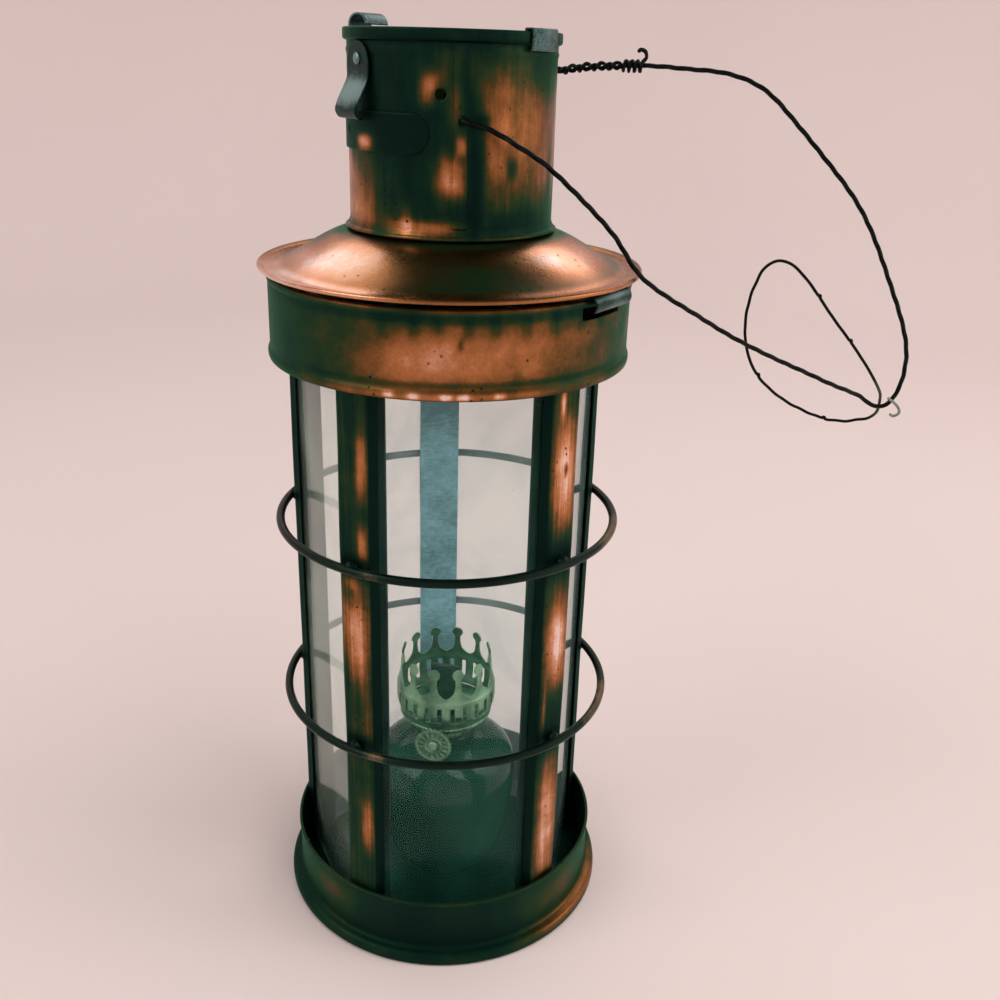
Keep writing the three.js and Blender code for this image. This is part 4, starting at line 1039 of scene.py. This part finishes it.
def bail():
    """Stiff twisted wire, its path a little kinked, with spare wire wound round the rear leg in slow waves
    that tighten into a knot, and a thin hanging loop."""
    path = spline(BAIL_ROUTE, 900)
    length = run_along(path)
    free = np.clip(np.minimum(length - 45, length[-1] - 30 - length) / 20, 0, 1)[:, None]
    side, over = frames(path, np.array([-1.0, 1, -1]))
    kink = 0.35 * np.sin(length / 6.1)[:, None] * side + 0.3 * np.sin(length / 9.3 + 1)[:, None] * over
    start, bound, stop = 0.812, 0.827, 0.878
    place = length / length[-1]
    in_twist = np.clip(np.minimum(place - bound, stop - place) / 0.004, 0, 1)[:, None]
    phase = 2 * np.pi * TWIST_TURNS * ((stop - place) / (stop - bound))[:, None]
    lean = 0.75 * in_twist * (np.sin(phase) * side + np.cos(phase) * over)
    swept("bail_twist", path + free * kink - lean, BAIL_R, IRON, "bail", ["bail_wire"], sides=15,
          lobes=3, lobe_depth=0.13, lay=26, tone=0.3)

    share = np.linspace(0, 1, 460)
    spots = stop - (stop - start) * share
    core = np.stack([np.interp(spots, place, path[:, k]) for k in range(3)], axis=-1)
    across = np.stack([np.interp(spots, place, side[:, k]) for k in range(3)], axis=-1)
    above = np.stack([np.interp(spots, place, over[:, k]) for k in range(3)], axis=-1)
    loose = (stop - spots) / (stop - bound)
    turns = TWIST_TURNS * np.minimum(loose, 1) + 3.6 * np.clip((bound - spots) / (bound - start), 0, 1)
    reach_out = np.interp(spots, [start, bound - 0.002, bound + 0.004, stop], [2.05, 2.05, 1.3, 1.3])[:, None]
    turn = 2 * np.pi * turns[:, None]
    wound = core + reach_out * (np.sin(turn) * across + np.cos(turn) * above)
    last = wound[-1]
    tail = spline([last, last + (1.2, -0.6, 1.6), last + (0.4, -1.2, 4.0), last + (-1.8, -1.0, 4.6),
                   last + (-2.4, -0.6, 3.4)], 40)
    swept("bail_wound_end", np.concatenate([wound, tail[1:]]), WRAP_R, IRON, "bail",
          ["bail_wrap"], away=(0.2, 0.3, 1), sides=12, lobes=2, lobe_depth=0.08, lay=14, tone=0.4)

    ring = spline(LOOP_ROUTE, 420, closed=True)
    place = np.arange(len(ring)) / len(ring)
    knots = sum(np.exp(-(((place - at) / 0.003) ** 2)) for at in (0.17, 0.35, 0.74, 0.86))
    wander = 0.25 * np.sin(place * 2 * np.pi * 23)[:, None] * np.array([0, 1.0, 0.4])
    tone = toned(place, 0 * place, 0.25, [(0.02, 0, 0.05, 1, 0.7)], period=1)
    swept("hang_loop_wire", ring + wander + knots[:, None] * np.array([0.3, 0.3, 0.5]),
          LOOP_R * (0.86 + 0.35 * knots), IRON, "loop", ["hang_loop"], away=(0, 1, 0.05),
          sides=12, closed=True, tone=tone[:, None])


def tie_end():
    """Bared end of the loop's wire, bent back on itself where it ties to the bail."""
    path = spline([(201.5, -2.4, 262.5), (204.5, -2.6, 260.5), (207.6, -2.2, 257.6), (208.6, -1.4, 254.8),
                   (206.4, -1.0, 253.2), (204.2, -1.4, 254.4)], 60)
    swept("loop_tie_end", path, 0.65, BARED, "loop", away=(0, 1, 0.05), sides=10, tone=0.5)


# ------------------------------------------------------------------ lamp
def font():
    side = [(0.45, 0), (0.6, 0.03), (0.75, 0.125), (0.88, 0.31), (0.973, 0.52), (1, 0.69), (0.95, 0.81),
            (0.8, 0.885), (0.58, 0.94), (0.42, 0.97)]
    wall, floor_z = 2.2, FONT_LOW
    tall = NECK_Z - 2 - floor_z
    curve = spline(side, 60)
    outer = np.stack([curve[:, 0] * FONT_R, floor_z + curve[:, 1] * tall], axis=-1)
    outer[:, 0] = np.minimum(outer[:, 0], FONT_R)
    inner_r = np.maximum(outer[6:, 0] - wall, NECK_R - wall)
    inner = np.stack([inner_r, floor_z + wall + curve[6:, 1] * (tall - wall - 1.2)], axis=-1)
    neck = [(NECK_R, NECK_Z - 1.6), (NECK_R, NECK_Z), (NECK_R - wall, NECK_Z), (NECK_R - wall, NECK_Z - 2.5)]
    profile = np.concatenate([[(0, floor_z + 1.2), (12, floor_z + 1.0)], outer, neck, inner[::-1],
                              [(0, floor_z + wall)]])
    turned("font_bowl", profile, FONT_GLASS, "lamp", ["font"], 128, base=0.5)


def burner():
    """The screw collar on the font's neck, ribbed round its side, and the fluted cup above it."""
    bore = NECK_R + GAP
    collar = [
        (bore, NECK_Z - 2.2), (bore + 1.2, NECK_Z - 2.4), (bore + 1.6, NECK_Z - 1.6),
        (bore + 1.6, NECK_Z + 0.9), (NECK_R - 1.6, NECK_Z + 0.9), (NECK_R - 1.6, NECK_Z + GAP),
        (bore, NECK_Z + GAP),
    ]

    def ribbed(angle, height):
        return 0.18 * np.cos(np.radians(angle) * 48) * (height < NECK_Z + 0.6) * (height > NECK_Z - 2)

    turned("font_collar_ring", dense(eased(collar, 0.25, 3, closed=True), 0.7, closed=True), BRASS, "lamp",
           ["font_collar"], 288, base=0.4, ripple=ribbed)
    foot, deck, rim, hole = NECK_Z + 1.2, GALLERY_Z - GAP - 1.7, GALLERY_R - 2, 8.85
    shell = [
        (NECK_R + 0.2, foot), (NECK_R + 1, foot), (NECK_R + 1.2, deck - 1.6), (NECK_R + 4, deck - 0.4),
        (rim - 1, deck), (rim, deck + 0.8), (rim - 1, deck + 1.6), (NECK_R + 4, deck + 0.8),
        (hole, deck + 0.6), (hole, deck - 0.1), (NECK_R - 0.4, deck - 0.3),
    ]

    def fluted(angle, height):
        return 0.22 * np.cos(np.radians(angle) * 60) * np.exp(-(((height - deck - 0.8) / 0.9) ** 2))

    turned("burner_cup", dense(eased(shell, 0.35, 3, closed=True), 0.8, closed=True), BRASS, "lamp",
           ["burner_base"], 300, base=0.38, ripple=fluted)


PETALS = 12
KNOB_TEETH, KNOB_FLUTES = 30, 15


def gallery():
    """Pierced basket with a crown of club-shaped petals. Each twelfth is a panel of the grid: full width in
    the wall, with two slots and a keyhole, and above it as wide as the petal, a narrow neck under a round
    head."""
    z0 = GALLERY_Z
    profile = dense(eased([(GALLERY_R - 2.9, z0), (GALLERY_R - 0.5, z0 + 6.5), (GALLERY_R - 0.9, z0 + 15),
                           (GALLERY_R - 2.4, z0 + 21), (GALLERY_R - 2.3, z0 + 27), (GALLERY_R - 3.4, z0 + 33)],
                          3, 4), 0.55)
    levels = [z0 + 4, z0 + 12.6, z0 + 17.6]
    z = with_lines(profile[:, 1], levels)[:, None]
    radius = np.interp(z, profile[:, 1], profile[:, 0])
    pitch = 360 / PETALS
    slot_half = np.degrees(1.1 / GALLERY_R)
    local = with_lines(np.linspace(-pitch / 2, pitch / 2, 19), [
        s * pitch / 4 + t * slot_half for s in (-1, 1) for t in (-1, 1)])
    full = pitch / 2
    neck, head, head_z = np.degrees(1.35 / 22.8), 2.75, z0 + 30.1
    waist = np.interp(z, [z0 + 17.6, z0 + 18.4, z0 + 20.5, z0 + 24], [full, full * 0.72, neck * 1.6, neck])
    club = np.degrees(np.sqrt(np.maximum(head**2 - (z - head_z) ** 2, 0)) / 22)
    width = np.where(z < levels[2] + 0.01, full, np.maximum(np.where(z < head_z, waist, 0), club))
    width = np.maximum(width, 0.03)
    angle = np.concatenate([(i + 0.5) * pitch + local[None, :] * width / full for i in range(PETALS)], axis=1)
    columns = len(local)
    middle = np.tile(np.append((local[:-1] + local[1:]) / 2, 99), PETALS)[None, :-1]
    middle_z = (z[:-1] + z[1:]) / 2
    slot = (np.abs(np.abs(middle) - pitch / 4) < slot_half) & (middle_z > levels[0]) & (middle_z < levels[1])
    keyhole = np.hypot(np.radians(middle) * GALLERY_R, middle_z - z0 - 5.6) < 1.9
    keep = ~slot & ~keyhole & (middle < 90) & (middle_z < head_z + head)
    beads = 0.28 * np.cos(np.radians(angle) * 72) * np.exp(-(((z - z0 - 1.2) / 0.8) ** 2))
    arch = 0.35 * np.exp(-(((z - z0 - 14.6) / 0.7) ** 2))
    points = polar(angle, radius + beads + arch, z + 0 * angle)
    tone = toned(angle, z + 0 * angle, 0.6, [(0, z0 + 15, 400, 1.6, 0.3), (0, z0 + 29, 400, 3, 0.1)])
    surface("gallery_basket", points, BRASS, "lamp", ["gallery_crown"], keep=keep,
            thickness=0.55, tone=tone)


def winder():
    """Knob: a thin disc with a toothed edge. Its front relief is a raised rim, a ring of petal-shaped
    flutes and a boss; its profile runs from the front's middle over the edge to the back's middle."""
    front_rows, back_rows = 40, 12
    share = np.concatenate([np.linspace(0, 1, front_rows), np.linspace(1, 0, back_rows)])[:, None]
    front = (np.arange(front_rows + back_rows) < front_rows)[:, None]
    turn = np.linspace(0, 2 * np.pi, 240, endpoint=False)[None, :]
    teeth = 0.28 * np.cos(KNOB_TEETH * turn) * np.clip((share - 0.9) / 0.1, 0, 1)
    radius = (KNOB_R - 0.3) * share + teeth
    flutes = 0.22 * np.cos(KNOB_FLUTES * turn) * np.exp(-(((share - 0.68) / 0.13) ** 2))
    ring = 0.3 * np.exp(-(((share - 0.9) / 0.045) ** 2)) + 0.3 * np.exp(-(((share - 0.44) / 0.05) ** 2))
    boss = 1.0 * np.clip((0.27 - share) / 0.05, 0, 1)
    relief = np.where(front, 1.1 + (flutes + ring + boss) * (share < 0.985), 0.0)
    out = KNOB_REACH + relief
    points = placed(radius * np.cos(turn), out + 0 * turn, WINDER_Z + radius * np.sin(turn), WINDER_AT)
    surface("winder_disc", points, BRASS, "winder", ["winder_knob"], loop_columns=True,
            tone=0.45 + 0.5 * (relief - 1.1))


# ------------------------------------------------------------------ floor and the CAD pieces that stay
def floor():
    """Round sweep of cloth: flat under the lantern, rising into an upright wall on an ellipse's quarter."""
    bend = arc(0, 0, 1, -90, 0, 24)
    profile = np.concatenate([[(0, 0), (600, 0), (1300, 0)], bend * (900, 900) + (1400, 900), [(2300, 2600)]])
    angle = np.linspace(0, 360, 97)[None, :-1]
    points = polar(angle, profile[:, 0][:, None], profile[:, 1][:, None] + 0 * angle)
    piece = surface("floor_cloth", points, cloth("pale cloth"), None, loop_columns=True, thickness=0.5)
    piece.modifiers.clear()        # one skin: cloth needs no wall, and its faces stay as they are laid


def refinish(nodes, material):
    """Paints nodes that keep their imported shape."""
    for name in nodes:
        shown = frame["nodes"][name]
        shown.data.materials.clear()
        shown.data.materials.append(material)


floor()
pan()
stiles()
rings()
solder_joints()
top_band()
hood()
chimney()
chimney_seam()
fittings()
bail()
tie_end()
font()
burner()
gallery()
winder()
refinish([f"glazing_bar_{number}" for number in (1, 2, 3, 5)], BARS)
refinish(["glazing_bar_4"], REAR_BAR_PAINTED_REFLECTION)
refinish(["wick_tube", "winder_spindle"], BRASS)
refinish(["wick"], COTTON)
for number in range(STILES):
    refinish([f"glass_pane_{number + 1}"], PANES[number])
